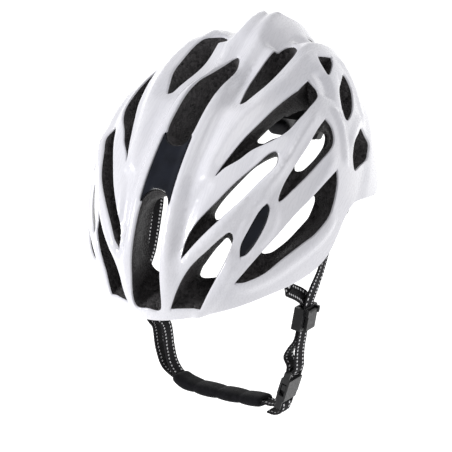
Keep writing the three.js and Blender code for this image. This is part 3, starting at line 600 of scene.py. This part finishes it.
def plastic_material(name, colour, grain):
    """Satin moulded nylon with a spark-eroded grain and lighter, rubbed patches."""
    made, tree, shader = material(name, colour, 0.42, Specular_IOR_Level=0.5)
    worn = tuple(min(1, c * 1.7) for c in colour)
    tree.links.new(ramp(tree, noise(tree, 180, 4), 0.35, 0.75, colour, worn), shader.inputs["Base Color"])
    tree.links.new(span(tree, noise(tree, 600), 0.3, 0.7, 0.34, 0.52), shader.inputs["Roughness"])
    bump(tree, shader, noise(tree, grain, 2), 0.25, 0.00012)
    return made


def wave(tree, axis_value, period, sharp=None):
    """A 0 to 1 sine of a length in metres."""
    scale = node(tree, "ShaderNodeMath", operation="MULTIPLY")
    scale.inputs[1].default_value = 2 * math.pi / period
    tree.links.new(axis_value, scale.inputs[0])
    sine = node(tree, "ShaderNodeMath", operation="SINE")
    tree.links.new(scale.outputs[0], sine.inputs[0])
    return span(tree, sine.outputs[0], -1 if sharp is None else sharp, 1, 0, 1)


def multiply(tree, a, b, operation="MULTIPLY"):
    made = node(tree, "ShaderNodeMath", operation=operation)
    for i, value in enumerate((a, b)):
        if isinstance(value, (int, float)):
            made.inputs[i].default_value = value
        else:
            tree.links.new(value, made.inputs[i])
    return made.outputs[0]


THREAD_OFFSET, THREAD_PERIOD = 4.4, 2.9      # the pale picks along the webbing: from its middle, and apart


def webbing_material():
    """Black ribbed webbing with a row of pale picks along each side."""
    made, tree, shader = material("webbing", (0.006, 0.006, 0.007), 0.85, Specular_IOR_Level=0.15,
                                  Sheen_Weight=0.04, Sheen_Roughness=0.5)
    uv = node(tree, "ShaderNodeUVMap", uv_map="weave")
    parts = node(tree, "ShaderNodeSeparateXYZ")
    tree.links.new(uv.outputs["UV"], parts.inputs[0])
    across, along = parts.outputs[0], parts.outputs[1]
    ribs = multiply(tree, wave(tree, along, 0.0011), wave(tree, across, 0.0013), "MAXIMUM")
    side = multiply(tree, across, 0, "ABSOLUTE")
    from_row = multiply(tree, multiply(tree, side, THREAD_OFFSET * MM, "SUBTRACT"), 0, "ABSOLUTE")
    in_row = span(tree, from_row, 0.0007, 0.001, 1, 0)
    picks = multiply(tree, in_row, span(tree, wave(tree, along, THREAD_PERIOD * MM), 0.45, 0.6, 0, 1))
    dark = ramp(tree, ribs, 0.2, 0.9, (0.002, 0.002, 0.003), (0.014, 0.013, 0.015))
    mix = node(tree, "ShaderNodeMix", data_type="RGBA")
    tree.links.new(picks, mix.inputs["Factor"])
    tree.links.new(dark, mix.inputs["A"])
    mix.inputs["B"].default_value = (0.80, 0.80, 0.82, 1)
    tree.links.new(mix.outputs["Result"], shader.inputs["Base Color"])
    bump(tree, shader, multiply(tree, ribs, picks, "ADD"), 0.6, 0.00025)
    return made


def fabric_material(name, colour, scale=1400):
    """Brushed knit over foam."""
    made, tree, shader = material(name, colour, 0.95, Specular_IOR_Level=0.15, Sheen_Weight=0.06,
                                  Sheen_Roughness=0.45)
    light = tuple(min(1, c * 2.6) for c in colour)
    tree.links.new(ramp(tree, noise(tree, 260, 4), 0.3, 0.75, colour, light), shader.inputs["Base Color"])
    knit = node(tree, "ShaderNodeTexVoronoi", Scale=scale, Randomness=0.6)
    tree.links.new(position(tree), knit.inputs["Vector"])
    bump(tree, shader, knit.outputs["Distance"], 0.5, 0.0003)
    return made


WHITE = shell_material()
FOAM = foam_material()
GLOSS = gloss_material()
PLASTIC = plastic_material("moulded_black", (0.007, 0.007, 0.008), 2200)
WEB = webbing_material()
PAD = fabric_material("pad_fabric", (0.004, 0.004, 0.005))

# ---- Shell and liner ----
EDGE_ROLL = 1.1       # radius of the shell's edges, mm
DEGREE = 2.25         # mm on the dome for each degree, about
RIM_SWELL = 3.0       # how far the foam's underside bulges below its edges
VENT_ROWS = all_vents()
INSERT_LOOP = smooth_closed(INSERT, 0.9, (0, 4))


def bridge_outline(grow=0.0):
    """The trim between the front and crest vents: straight sides, ends that follow the vents."""
    side = BRIDGE_SIDE + grow
    front = smooth_closed(CENTRE_VENTS["front"][0], 0.9)
    crest = smooth_closed(CENTRE_VENTS["crest"][0], 0.9)
    low = offset_ring(front, 0.35 - grow)
    high = offset_ring(crest, 0.35 - grow)
    low = low[(low[:, 1] > -43.5) & (np.abs(low[:, 0]) < side)]
    high = high[(high[:, 1] < -13.5) & (np.abs(high[:, 0]) < side)]
    low = low[np.argsort(-low[:, 0])]
    high = high[np.argsort(high[:, 0])]
    side_back = np.arange(-15.2, -42.8, -0.9)
    right = np.stack([np.full(len(side_back), side), side_back], -1)
    left = np.stack([np.full(len(side_back), -side), side_back[::-1]], -1)
    return np.vstack([right, low, left, high])


def surface(points, drop=0.0):
    d = direction(points[:, 0], points[:, 1])
    return CENTRE + (dome_radius(d) + relief(points) - drop)[:, None] * d


def rolled(points, loops):
    """How far the shell's edge rolls in at each point, in mm."""
    samples = np.vstack(loops)
    gap = nearest(points, samples) * DEGREE
    near = np.clip(EDGE_ROLL - gap, 0, EDGE_ROLL)
    return EDGE_ROLL - np.sqrt(np.clip(EDGE_ROLL ** 2 - near ** 2, 0, None))


def slab(name, boundary, holes, outer_drop, inner_drop, look, spacing, roll=True, wall=3):
    """A closed skin over part of the dome between two depths, with rolled edges."""
    points, triangles, loops = triangulate(boundary, holes, spacing, FEATURE_GUIDES, (0.24, 0.55))
    outlines = [boundary, *holes]
    drop = rolled(points, outlines) if roll else np.zeros(len(points))
    outer = surface(points, outer_drop + drop)
    inner = surface(points, inner_drop)
    n = len(points)
    vertices = [outer, inner]
    faces = [tuple(t) for t in triangles] + [tuple(t + n)[::-1] for t in triangles]
    start = 2 * n
    for number, loop in enumerate(loops):
        rows = [loop]
        ring = points[loop]
        for k in range(1, wall):
            t = k / wall
            first = outer_drop + (EDGE_ROLL if roll else 0)
            depth = first + (inner_drop - first) * t
            vertices.append(surface(ring, depth))
            rows.append(np.arange(start, start + len(ring)))
            start += len(ring)
        rows.append(loop + n)
        outside = (area_sign(ring) > 0) == (number == 0)
        for a, b in zip(rows, rows[1:]):
            faces += strip(a, b, flip=outside)
    vertices = np.vstack(vertices)
    return make_mesh(name, vertices, outward(vertices, faces), look, sharp=50)


FEATURE_GUIDES = []
for line in FEATURE_LINES:
    FEATURE_GUIDES += [line, line * np.array([-1, 1])]

rim = rim_outline(420)
insert_left = INSERT_LOOP
insert_right = (INSERT_LOOP * np.array([-1, 1]))[::-1]

# The front and crest vents and the bridge between them are one opening in the shell.
front_loop = next(o for n, o, _ in VENT_ROWS if n == "centre_front")
crest_loop = next(o for n, o, _ in VENT_ROWS if n == "centre_crest")


def keyhole():
    """One outline round the front vent, the bridge and the crest vent."""
    side = BRIDGE_SIDE + 0.15
    rows = []
    front = front_loop[(front_loop[:, 1] < -42.5)]
    angle = np.arctan2(front[:, 0], -(front[:, 1] + 58))
    front = front[np.argsort(angle)]
    right = np.arange(-41.6, -15.6, 0.9)
    rows.append(front)
    rows.append(np.stack([np.full(len(right), side), right], -1))
    crest = crest_loop[(crest_loop[:, 1] > -14.5)]
    angle = np.arctan2(crest[:, 0], crest[:, 1] - 8)
    crest = crest[np.argsort(-angle)]
    rows.append(crest)
    rows.append(np.stack([np.full(len(right), -side), right[::-1]], -1))
    return np.vstack(rows)


shell_holes = [o for n, o, _ in VENT_ROWS if n not in ("centre_front", "centre_crest")]
shell = slab("shell", rim, [keyhole(), insert_left, insert_right, *shell_holes], 0.0, SKIN, WHITE, GRID)
place(shell, "helmet", "shell_white", "outer_shell")

bridge = slab("bridge", bridge_outline(-0.1), [], -0.25, SKIN, GLOSS, GRID)
place(bridge, "helmet", "trim_gloss", "centre_bridge")
for side_name, loop in (("left", insert_left), ("right", insert_right)):
    insert = slab(f"side_insert_{side_name}", offset_ring(loop, -0.12), [], 0.35, SKIN, GLOSS, GRID)
    place(insert, "helmet", "trim_gloss", f"side_insert_{side_name}")


def inner_surface(points, drop=0.0):
    d = direction(points[:, 0], points[:, 1])
    return CENTRE + (head_radius(d) - channels(points) - drop)[:, None] * d


CHANNELS = [([(0, -66), (0, -30), (0, 10), (0, 50), (0, 76)], 5.5, 5.0),
            ([(24, -60), (31, -30), (35, 0), (34, 30), (28, 56)], 5.0, 4.5),
            ([(56, -40), (62, -14), (64, 8), (62, 34), (56, 50)], 5.0, 4.0)]
CHANNEL_LINES = [smooth_open(points, 3.0) for points, *_ in CHANNELS]


def channels(points):
    """Air channels pressed into the head side of the liner; negative is deeper into the foam."""
    sided = np.stack([np.abs(points[:, 0]), points[:, 1]], -1)
    height = np.zeros(len(points))
    for (_, width, depth), line in zip(CHANNELS, CHANNEL_LINES):
        gap, where = segment_distance(sided, line)
        fade = np.clip(np.minimum(where, 1 - where) / 0.15, 0, 1)
        floor = np.clip((width - gap) / 2.2, 0, 1)
        height = np.minimum(height, -depth * fade * floor * floor * (3 - 2 * floor))
    return height


def build_liner():
    """Foam liner: outer skin under the shell, walls through each vent, air channels inside."""
    coarse = GRID * 1.25
    foam_rim = offset_ring(rim, -0.3)
    outlines, inners = [], []
    for _, outer, inner in VENT_ROWS:
        outlines.append(offset_ring(outer, 0.05))
        inners.append(inner)
    outer_points, outer_tris, outer_loops = triangulate(foam_rim, outlines, coarse * 1.2, [], (0.5,))
    inner_points, inner_tris, inner_loops = triangulate(foam_rim, inners, coarse, [], (0.5,))
    outer = surface(outer_points, SKIN + GAP)
    inner = inner_surface(inner_points)
    vertices = [outer, inner]
    n = len(outer)
    faces = [tuple(t) for t in outer_tris] + [tuple(t + n)[::-1] for t in inner_tris]
    start = n + len(inner)
    pairs = [(foam_rim, foam_rim), *zip(outlines, inners)]
    for number, ((top, low), top_rows, low_rows) in enumerate(zip(pairs, outer_loops, inner_loops)):
        rows = [top_rows]
        steps = 8
        for k in range(1, steps):
            t = k / steps
            # the wall leaves the shell squarely and flares a little at the head side
            flare = t * t * (3 - 2 * t) if number else t
            ring = top + (low - top) * flare
            ring_top = surface(ring, SKIN + GAP)
            ring_low = inner_surface(ring)
            at = ring_top + (ring_low - ring_top) * t
            if number == 0:
                at[:, 2] -= RIM_SWELL * math.sin(math.pi * t)
            vertices.append(at)
            rows.append(np.arange(start, start + len(ring)))
            start += len(ring)
        rows.append(low_rows + n)
        outside = (area_sign(top) > 0) == (number == 0)
        for a, b in zip(rows, rows[1:]):
            faces += strip(a, b, flip=outside)
    vertices = np.vstack(vertices)
    liner = make_mesh("liner", vertices, outward(vertices, faces), FOAM, sharp=60)
    return place(liner, "helmet", "foam_black", "eps_liner")


build_liner()

# ---- Straps: where they run ----
WEB_THICK = 1.5
LOOP_NORMAL = np.array([0, -0.78, 0.63])
PLUG_BAR, BAR = 28.2, 1.2
WRAP = BAR + 0.5 + WEB_THICK / 2
LAYER = 1.1


def unit(v):
    return np.asarray(v, float) / np.linalg.norm(v)


def web_frame(origin, run, across=LOOP_NORMAL):
    """Origin and axes: x across the webbing, y along its run, z out of its face."""
    y = unit(run)
    x = unit(across - y * (across @ y))
    return np.array(origin, float), np.array([x, y, np.cross(x, y)])


def at(frame_, *abc):
    return frame_[0] + np.array(abc, float) @ frame_[1]


DIVIDER = web_frame((68, -71, -40), (-8, -27.5, -34.5))
BUCKLE = web_frame((59.6, -99.5, -75.5), (-0.305, -0.594, -0.745))


def underside(theta, inset):
    """Underside of the liner at a compass angle, inset from the hollow's edge."""
    turn = math.radians(theta)
    high, low = 60.0, 130.0
    for _ in range(40):
        psi = (high + low) / 2
        d = direction([psi * math.sin(turn)], [-psi * math.cos(turn)])
        if (CENTRE + dome_radius(d)[:, None] * d)[0, 2] > rim_height(theta):
            high = psi
        else:
            low = psi
    d = direction([high * math.sin(turn)], [-high * math.cos(turn)])
    return (CENTRE + (head_radius(d) + inset)[:, None] * d)[0]


def anchor_frame(theta, inset):
    run = underside(theta + 4, inset) - underside(theta - 4, inset)
    out = underside(theta, inset + 5) - underside(theta, inset - 5)
    down = unit(np.cross(run, out))
    down = -down if down[2] > 0 else down
    return web_frame(underside(theta, inset) + down, down, run)


def loop_station(point):
    return [*point, *LOOP_NORMAL]


def upper_run(theta, inset, face, waypoints, side):
    anchor = anchor_frame(theta, inset)
    first = [[*at(anchor, 0, depth, 0), *(face * anchor[1][0])] for depth in (4.4, 9)]
    last = [loop_station(at(DIVIDER, 0, b, side * c)) for b, c in
            ((-12, LAYER + 0.7), (0, LAYER), (19, LAYER + 0.2))]
    return [*first, *waypoints, *last]


def mirrored_run(stations):
    return [[-x, y, z, -a, b, c] for x, y, z, a, b, c in stations]


FRONT_RUN = upper_run(47, 8, 1, [[65, -72, -3, 0.3, -0.8, 0.5]], -1)
REAR_RUN = upper_run(104, 6, -1, [[77, -12, -11, 0.2, -0.75, 0.6], [73.5, -42, -25, 0.1, -0.8, 0.6]], 1)
PAD_ROUTE = np.array([[-45, -107, -98.3], [-36, -110.6, -100.6], [-22, -112.5, -101.4], [-4, -113.7, -101],
                      [20, -115, -99.5], [36, -116, -97.5]])
PAD_FACE = np.array([0, 0.63, 0.78])


def on(frame_, *rows):
    return [loop_station(at(frame_, 0, b, c)) for b, c in rows]


STRAPS = {
    "front_strap_left": FRONT_RUN + on(DIVIDER, (27, -5), (35, -7)) + on(
        BUCKLE, (-5, -3.6), (0, -WRAP), (0.7 * WRAP, -0.7 * WRAP), (WRAP, 0), (0.5 * WRAP, 0.87 * WRAP)),
    "rear_strap_left": REAR_RUN + on(DIVIDER, (27, 1.4), (35, 2.4)) + on(BUCKLE, (-5, 3), (-1, WRAP)),
    "front_strap_right": mirrored_run(FRONT_RUN) + [loop_station(p) for p in (
        (-56.5, -83.5, -66), (-54, -94, -83), (-51, -101, -91.5), *(PAD_ROUTE[:3] + LAYER * PAD_FACE))],
    "rear_strap_right": mirrored_run(REAR_RUN) + [loop_station(p) for p in (
        (-64, -83.5, -66), (-62, -94, -83), (-56.5, -102.5, -94), *(PAD_ROUTE[:3] - LAYER * PAD_FACE))],
    "chin_strap": [loop_station(p) for p in ((-20, -112.7, -101.3), *PAD_ROUTE[3:], (43, -116.6,
                                                                                     -97.6))] + on(
        BUCKLE, (PLUG_BAR + 0.6, -WRAP), (PLUG_BAR - 0.7 * WRAP, -0.7 * WRAP), (PLUG_BAR - WRAP, 0),
        (PLUG_BAR - 0.7 * WRAP, 0.7 * WRAP), (PLUG_BAR + 0.6, WRAP), (PLUG_BAR + 5, 2.2), (PLUG_BAR + 8.5,
                                                                                           -2),
        (PLUG_BAR + 9.5, -8)),
}


def run_along(stations, step):
    """Centres, width directions and lengths, evenly spaced along the smooth line through stations."""
    rows = np.array(stations, float)
    rows[:, 3:] /= np.linalg.norm(rows[:, 3:], axis=1)[:, None]
    points, widths = rows[:, :3], rows[:, 3:]
    ends = np.vstack([2 * points[0] - points[1], points, 2 * points[-1] - points[-2]])
    knots = np.concatenate([[0], np.cumsum(np.linalg.norm(np.diff(ends, axis=0), axis=1) ** 0.5)])
    out, wide = [], []
    for i in range(1, len(ends) - 2):
        t0, t1, t2, t3 = knots[i - 1:i + 3]
        t = np.linspace(t1, t2, 24, endpoint=False)[:, None]
        p0, p1, p2, p3 = ends[i - 1:i + 3]
        a1 = (t1 - t) / (t1 - t0) * p0 + (t - t0) / (t1 - t0) * p1
        a2 = (t2 - t) / (t2 - t1) * p1 + (t - t1) / (t2 - t1) * p2
        a3 = (t3 - t) / (t3 - t2) * p2 + (t - t2) / (t3 - t2) * p3
        b1 = (t2 - t) / (t2 - t0) * a1 + (t - t0) / (t2 - t0) * a2
        b2 = (t3 - t) / (t3 - t1) * a2 + (t - t1) / (t3 - t1) * a3
        out.append((t2 - t) / (t2 - t1) * b1 + (t - t1) / (t2 - t1) * b2)
        share = (t - t1) / (t2 - t1)
        wide.append(widths[i - 1] * (1 - share) + widths[i] * share)
    centres = np.vstack(out + [points[-1:]])
    wide = np.vstack(wide + [widths[-1:]])
    length = np.concatenate([[0], np.cumsum(np.linalg.norm(np.diff(centres, axis=0), axis=1))])
    count = max(2, int(round(length[-1] / step)))
    s = np.linspace(0, length[-1], count + 1)

    def pick(values):
        return np.stack([np.interp(s, length, values[:, k]) for k in range(3)], -1)

    return pick(centres), pick(wide), s


def axes_along(centres, wide):
    run = np.gradient(centres, axis=0)
    run /= np.linalg.norm(run, axis=1)[:, None]
    across = wide - run * (wide * run).sum(1)[:, None]
    across /= np.linalg.norm(across, axis=1)[:, None]
    through = np.cross(run, across)
    return run, across, through


def tube(name, rings, look, uv=None, sharp=None):
    """A closed tube through equal rings of points, capped by a fan at each end."""
    count, n = len(rings), len(rings[0])
    vertices = np.vstack(rings)
    faces = []
    for i in range(count - 1):
        faces += strip(range(i * n, i * n + n), range(i * n + n, i * n + 2 * n))
    ends = np.array([rings[0].mean(0), rings[-1].mean(0)])
    base = len(vertices)
    vertices = np.vstack([vertices, ends])
    for k in range(n):
        m = (k + 1) % n
        faces.append((k, m, base)[::-1])
        last = (count - 1) * n
        faces.append((last + k, last + m, base + 1))
    if uv is not None:
        uv = np.vstack([uv, uv[:1] * 0, uv[-1:]])
    return make_mesh(name, vertices, outward(vertices, faces), look, sharp=sharp, uv=uv)


def webbing(name, body, step=0.9):
    centres, wide, s = run_along(STRAPS[name], step)
    _, across, through = axes_along(centres, wide)
    u = np.concatenate([np.linspace(-6.6, 6.6, 13), np.linspace(6.6, -6.6, 13)])
    side = np.repeat([1.0, -1.0], 13)
    lip = np.clip(np.abs(u) - 6.0, 0, 1)
    rise = side * (WEB_THICK / 2 - 0.45 * lip ** 2)
    u = u + np.sign(u) * 0.4 * (np.abs(u) > 6.5)
    rings, uvs = [], []
    for i, centre in enumerate(centres):
        weave = 0.10 * math.sin(2 * math.pi * i / 3.0)
        high = rise + side * weave * (np.arange(26) % 2 * 2 - 1)
        rings.append(centre + u[:, None] * across[i] + high[:, None] * through[i])
        uvs.append(np.stack([u, np.full(26, s[i])], -1))
    piece = tube(name + "_web", rings, WEB, np.vstack(uvs), sharp=60)
    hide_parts(name)
    if body:
        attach(piece, body)
    return piece


for strap in ("front_strap_left", "rear_strap_left", "front_strap_right", "rear_strap_right"):
    webbing(strap, "helmet")
chin = webbing("chin_strap", None)
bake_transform(chin)

# ---- Pads ----
def chin_pad():
    """Sewn sleeve round the chin strap: plump segments between seams, with a scalloped edge."""
    rows = [loop_station(p) for p in PAD_ROUTE]
    centres, wide, s = run_along(rows, 0.8)
    _, across, through = axes_along(centres, wide)
    n = 40
    turn = np.arange(n) * 2 * math.pi / n
    segments = 4.0
    rings = []
    length = s[-1]
    for i, centre in enumerate(centres):
        phase = (s[i] / length * segments) % 1
        plump = abs(math.sin(math.pi * phase)) ** 0.55
        edge = min(s[i], length - s[i])
        round_end = math.sqrt(max(0.0, 1 - (1 - min(edge / 3.2, 1)) ** 2))
        half_wide = 9.0 + 0.9 * plump
        half_thick = 3.5 + 1.0 * plump
        half_wide = 7.6 + (half_wide - 7.6) * round_end
        half_thick = 2.0 + (half_thick - 2.0) * round_end
        c, sn = np.cos(turn), np.sin(turn)
        ring = centre + (np.sign(c) * np.abs(c) ** 0.62 * half_wide)[:, None] * across[i] + \
            (np.sign(sn) * np.abs(sn) ** 0.75 * half_thick)[:, None] * through[i]
        rings.append(ring)
    inner = []
    for i in range(len(centres)):
        c, sn = np.cos(turn), np.sin(turn)
        inner.append(centres[i] + (np.sign(c) * np.abs(c) ** 0.4 * 7.35)[:, None] * across[i]
                     + (np.sign(sn) * np.abs(sn) ** 0.5 * 1.8)[:, None] * through[i])
    loops = rings + inner[::-1]
    vertices = np.vstack(loops)
    faces = []
    for k in range(len(loops)):
        a, b = k * n, ((k + 1) % len(loops)) * n
        faces += strip(range(a, a + n), range(b, b + n))
    piece = make_mesh("chin_sleeve", vertices, outward(vertices, faces), PAD)
    place(piece, "helmet", "pad_fabric", "chin_pad")


def cushion(name, body, outline, swell, base_gap, thick, *nodes):
    """A fabric pad on the head side of the liner: flat behind, crowned in front, thin at its sewn edge."""
    loop = smooth_closed(outline, 1.1)
    points, triangles, loops = triangulate(loop, [], 1.3, [], (0.5,))
    gap = nearest(points, loop) * 1.7
    crown = 1 - (1 - np.clip(gap / swell, 0, 1)) ** 2
    d = direction(points[:, 0], points[:, 1])
    front = CENTRE + (head_radius(d) - base_gap - 1.4 - (thick - 1.4) * np.sqrt(crown))[:, None] * d
    behind = CENTRE + (head_radius(d) - base_gap)[:, None] * d
    n = len(points)
    vertices = np.vstack([front, behind])
    faces = [tuple(t) for t in triangles] + [tuple(t + n)[::-1] for t in triangles]
    faces += strip(loops[0], loops[0] + n, flip=area_sign(loop) > 0)
    piece = make_mesh(name, vertices, outward(vertices, faces), PAD, sharp=70)
    place(piece, body, "pad_fabric", *nodes)


BROW_PAD = [(0, -76.6), (16, -76), (30, -73), (42, -63), (46, -58), (50, -60), (44, -69), (32, -76.5), (16,
                                                                                                        -80),
            (0, -80.5), (-16, -80), (-32, -76.5), (-44, -69), (-50, -60), (-46, -58), (-42, -63), (-30, -73),
            (-16, -76)]
CROWN_PAD = [(-3.4, -35.5), (3.4, -35.5), (4.8, -30), (4.8, -22), (-4.8, -22), (-4.8, -30)]
RIDGE_PAD = [(9, -38), (14, -37), (19, -24), (25, -6), (24, 3), (16, 5), (11, -8)]
TEMPLE_PAD = [(67, -3), (71.5, -5), (75, 8), (76, 24), (70, 27), (68, 12)]


def occipital_pad(name):
    """Soft block on the headband's housing, crowned toward the head."""
    low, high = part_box(name)
    low, high = np.array(low) / MM, np.array(high) / MM
    middle, half = (low + high) / 2, (high - low) / 2
    n, rings = 36, []
    turn = np.arange(n) * 2 * math.pi / n
    power = 0.42
    for depth, size in ((0.0, 0.92), (0.12, 0.985), (0.4, 1.0), (0.68, 0.97), (0.86, 0.86), (0.96, 0.66),
                        (1.0, 0.36)):
        x = middle[0] + np.sign(np.cos(turn)) * np.abs(np.cos(turn)) ** power * half[0] * size
        z = middle[2] + np.sign(np.sin(turn)) * np.abs(np.sin(turn)) ** power * half[2] * size
        y = np.full(n, high[1] - depth * (high[1] - low[1]))
        rings.append(np.stack([x, y, z], -1))
    piece = tube(f"{name}_soft", rings, PAD)
    place(piece, "cradle", "pad_fabric", name)


chin_pad()
cushion("brow_cushion", "helmet", BROW_PAD, 5, GAP, 5.4, "brow_pad")
cushion("crown_cushion", "helmet", CROWN_PAD, 6, GAP, 5.4, "crown_pad")
for side_name, hand in (("left", 1), ("right", -1)):
    for place_name, outline, swell, thick in (("ridge", RIDGE_PAD, 7, 5.6), ("temple", TEMPLE_PAD, 6, 5.4)):
        turned = outline if hand > 0 else mirror(outline)
        cushion(f"{place_name}_cushion_{side_name}", "helmet", turned, swell, GAP, thick,
                f"{place_name}_pad_{side_name}")
    occipital_pad(f"occipital_pad_{side_name}")

# ---- Hardware: the frame's own pieces with rounded edges ----
ROUNDED = {
    "strap_divider": 0.5, "divider_lever": 0.5, "buckle_socket": 0.45, "buckle_plug": 0.45,
    "buckle_prong": 0.3,
    "front_strap_anchor": 0.5, "rear_strap_anchor": 0.5, "headband_pin": 0.3, "headband_arm": 0.35,
    "dial_housing": 0.7, "dial_knob": 0.6, "dial_pinion": 0.15, "rack": 0.15,
}


def finish_hardware():
    for name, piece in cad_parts.items():
        width = next((w for key, w in ROUNDED.items() if name.startswith(key)), None)
        if width is None:
            continue
        tidy = piece.modifiers.new("flat faces", "DECIMATE")
        tidy.decimate_type = "DISSOLVE"
        tidy.angle_limit = math.radians(1.5)
        edges = piece.modifiers.new("rounded edges", "BEVEL")
        edges.width = width * MM
        edges.segments = 3
        edges.limit_method = "ANGLE"
        edges.angle_limit = math.radians(35)
        edges.use_clamp_overlap = True
        piece.data.polygons.foreach_set("use_smooth", [True] * len(piece.data.polygons))
        piece.modifiers.new("even shading", "WEIGHTED_NORMAL").keep_sharp = False
        piece.data.materials.clear()
        piece.data.materials.append(PLASTIC)


finish_hardware()

# ---- Camera, light and floor ----
AZIMUTH, ELEVATION, ROLL = math.radians(44.65), math.radians(47.9), math.radians(26.95)
DISTANCE = 2700.0
AIM = np.array([0.0, 0.0, 70.0])


def build_camera():
    back = np.array([math.sin(AZIMUTH) * math.cos(ELEVATION), -math.cos(AZIMUTH) * math.cos(ELEVATION),
                     math.sin(ELEVATION)])
    level = np.array([math.cos(AZIMUTH), math.sin(AZIMUTH), 0.0])
    rise = np.cross(back, level)
    right = level * math.cos(ROLL) - rise * math.sin(ROLL)
    up = rise * math.cos(ROLL) + level * math.sin(ROLL)
    at = AIM + 6.56 * right - 64.16 * up + DISTANCE * back
    data = bpy.data.cameras.new("camera")
    data.lens = 288.6
    data.sensor_width = 36
    data.clip_end = 50
    camera = bpy.data.objects.new("camera", data)
    bpy.context.scene.collection.objects.link(camera)
    turn = Matrix((right, up, back)).transposed().to_4x4()
    camera.matrix_world = Matrix.Translation(Vector(at * MM)) @ turn
    bpy.context.scene.camera = camera


def area_light(name, at, aim, size, power):
    data = bpy.data.lights.new(name, "AREA")
    data.shape = "RECTANGLE"
    data.size, data.size_y = size
    data.energy = power
    lamp = bpy.data.objects.new(name, data)
    bpy.context.scene.collection.objects.link(lamp)
    lamp.location = at
    lamp.rotation_euler = (Vector(at) - Vector(aim)).to_track_quat("Z", "Y").to_euler()
    return lamp


FLOOR_HEIGHT = -0.42        # metres


def build_studio():
    half = 9.0
    mesh = bpy.data.meshes.new("floor")
    corners = [(x * half, y * half, FLOOR_HEIGHT) for x, y in ((-1, -1), (1, -1), (1, 1), (-1, 1))]
    mesh.from_pydata(corners, [], [(0, 1, 2, 3)])
    floor = bpy.data.objects.new("floor", mesh)
    bpy.context.scene.collection.objects.link(floor)
    pale, _, _ = material("floor_pale", (0.93, 0.93, 0.93), 0.9, Emission_Color=(1, 1, 1, 1),
                          Emission_Strength=0.52)
    mesh.materials.append(pale)
    world = bpy.data.worlds.new("studio")
    bpy.context.scene.world = world
    world.use_nodes = True
    sky = world.node_tree.nodes["Background"]
    sky.inputs["Color"].default_value = (1.0, 1.0, 1.0, 1)
    sky.inputs["Strength"].default_value = 0.45
    area_light("key", (-1.4, -1.1, 1.9), (0, 0, 0.05), (0.8, 0.8), 50)
    area_light("rim", (1.6, 0.9, 1.7), (0, 0, 0.05), (1.2, 1.2), 10)
    bpy.context.scene.view_settings.view_transform = "Standard"


build_camera()
build_studio()
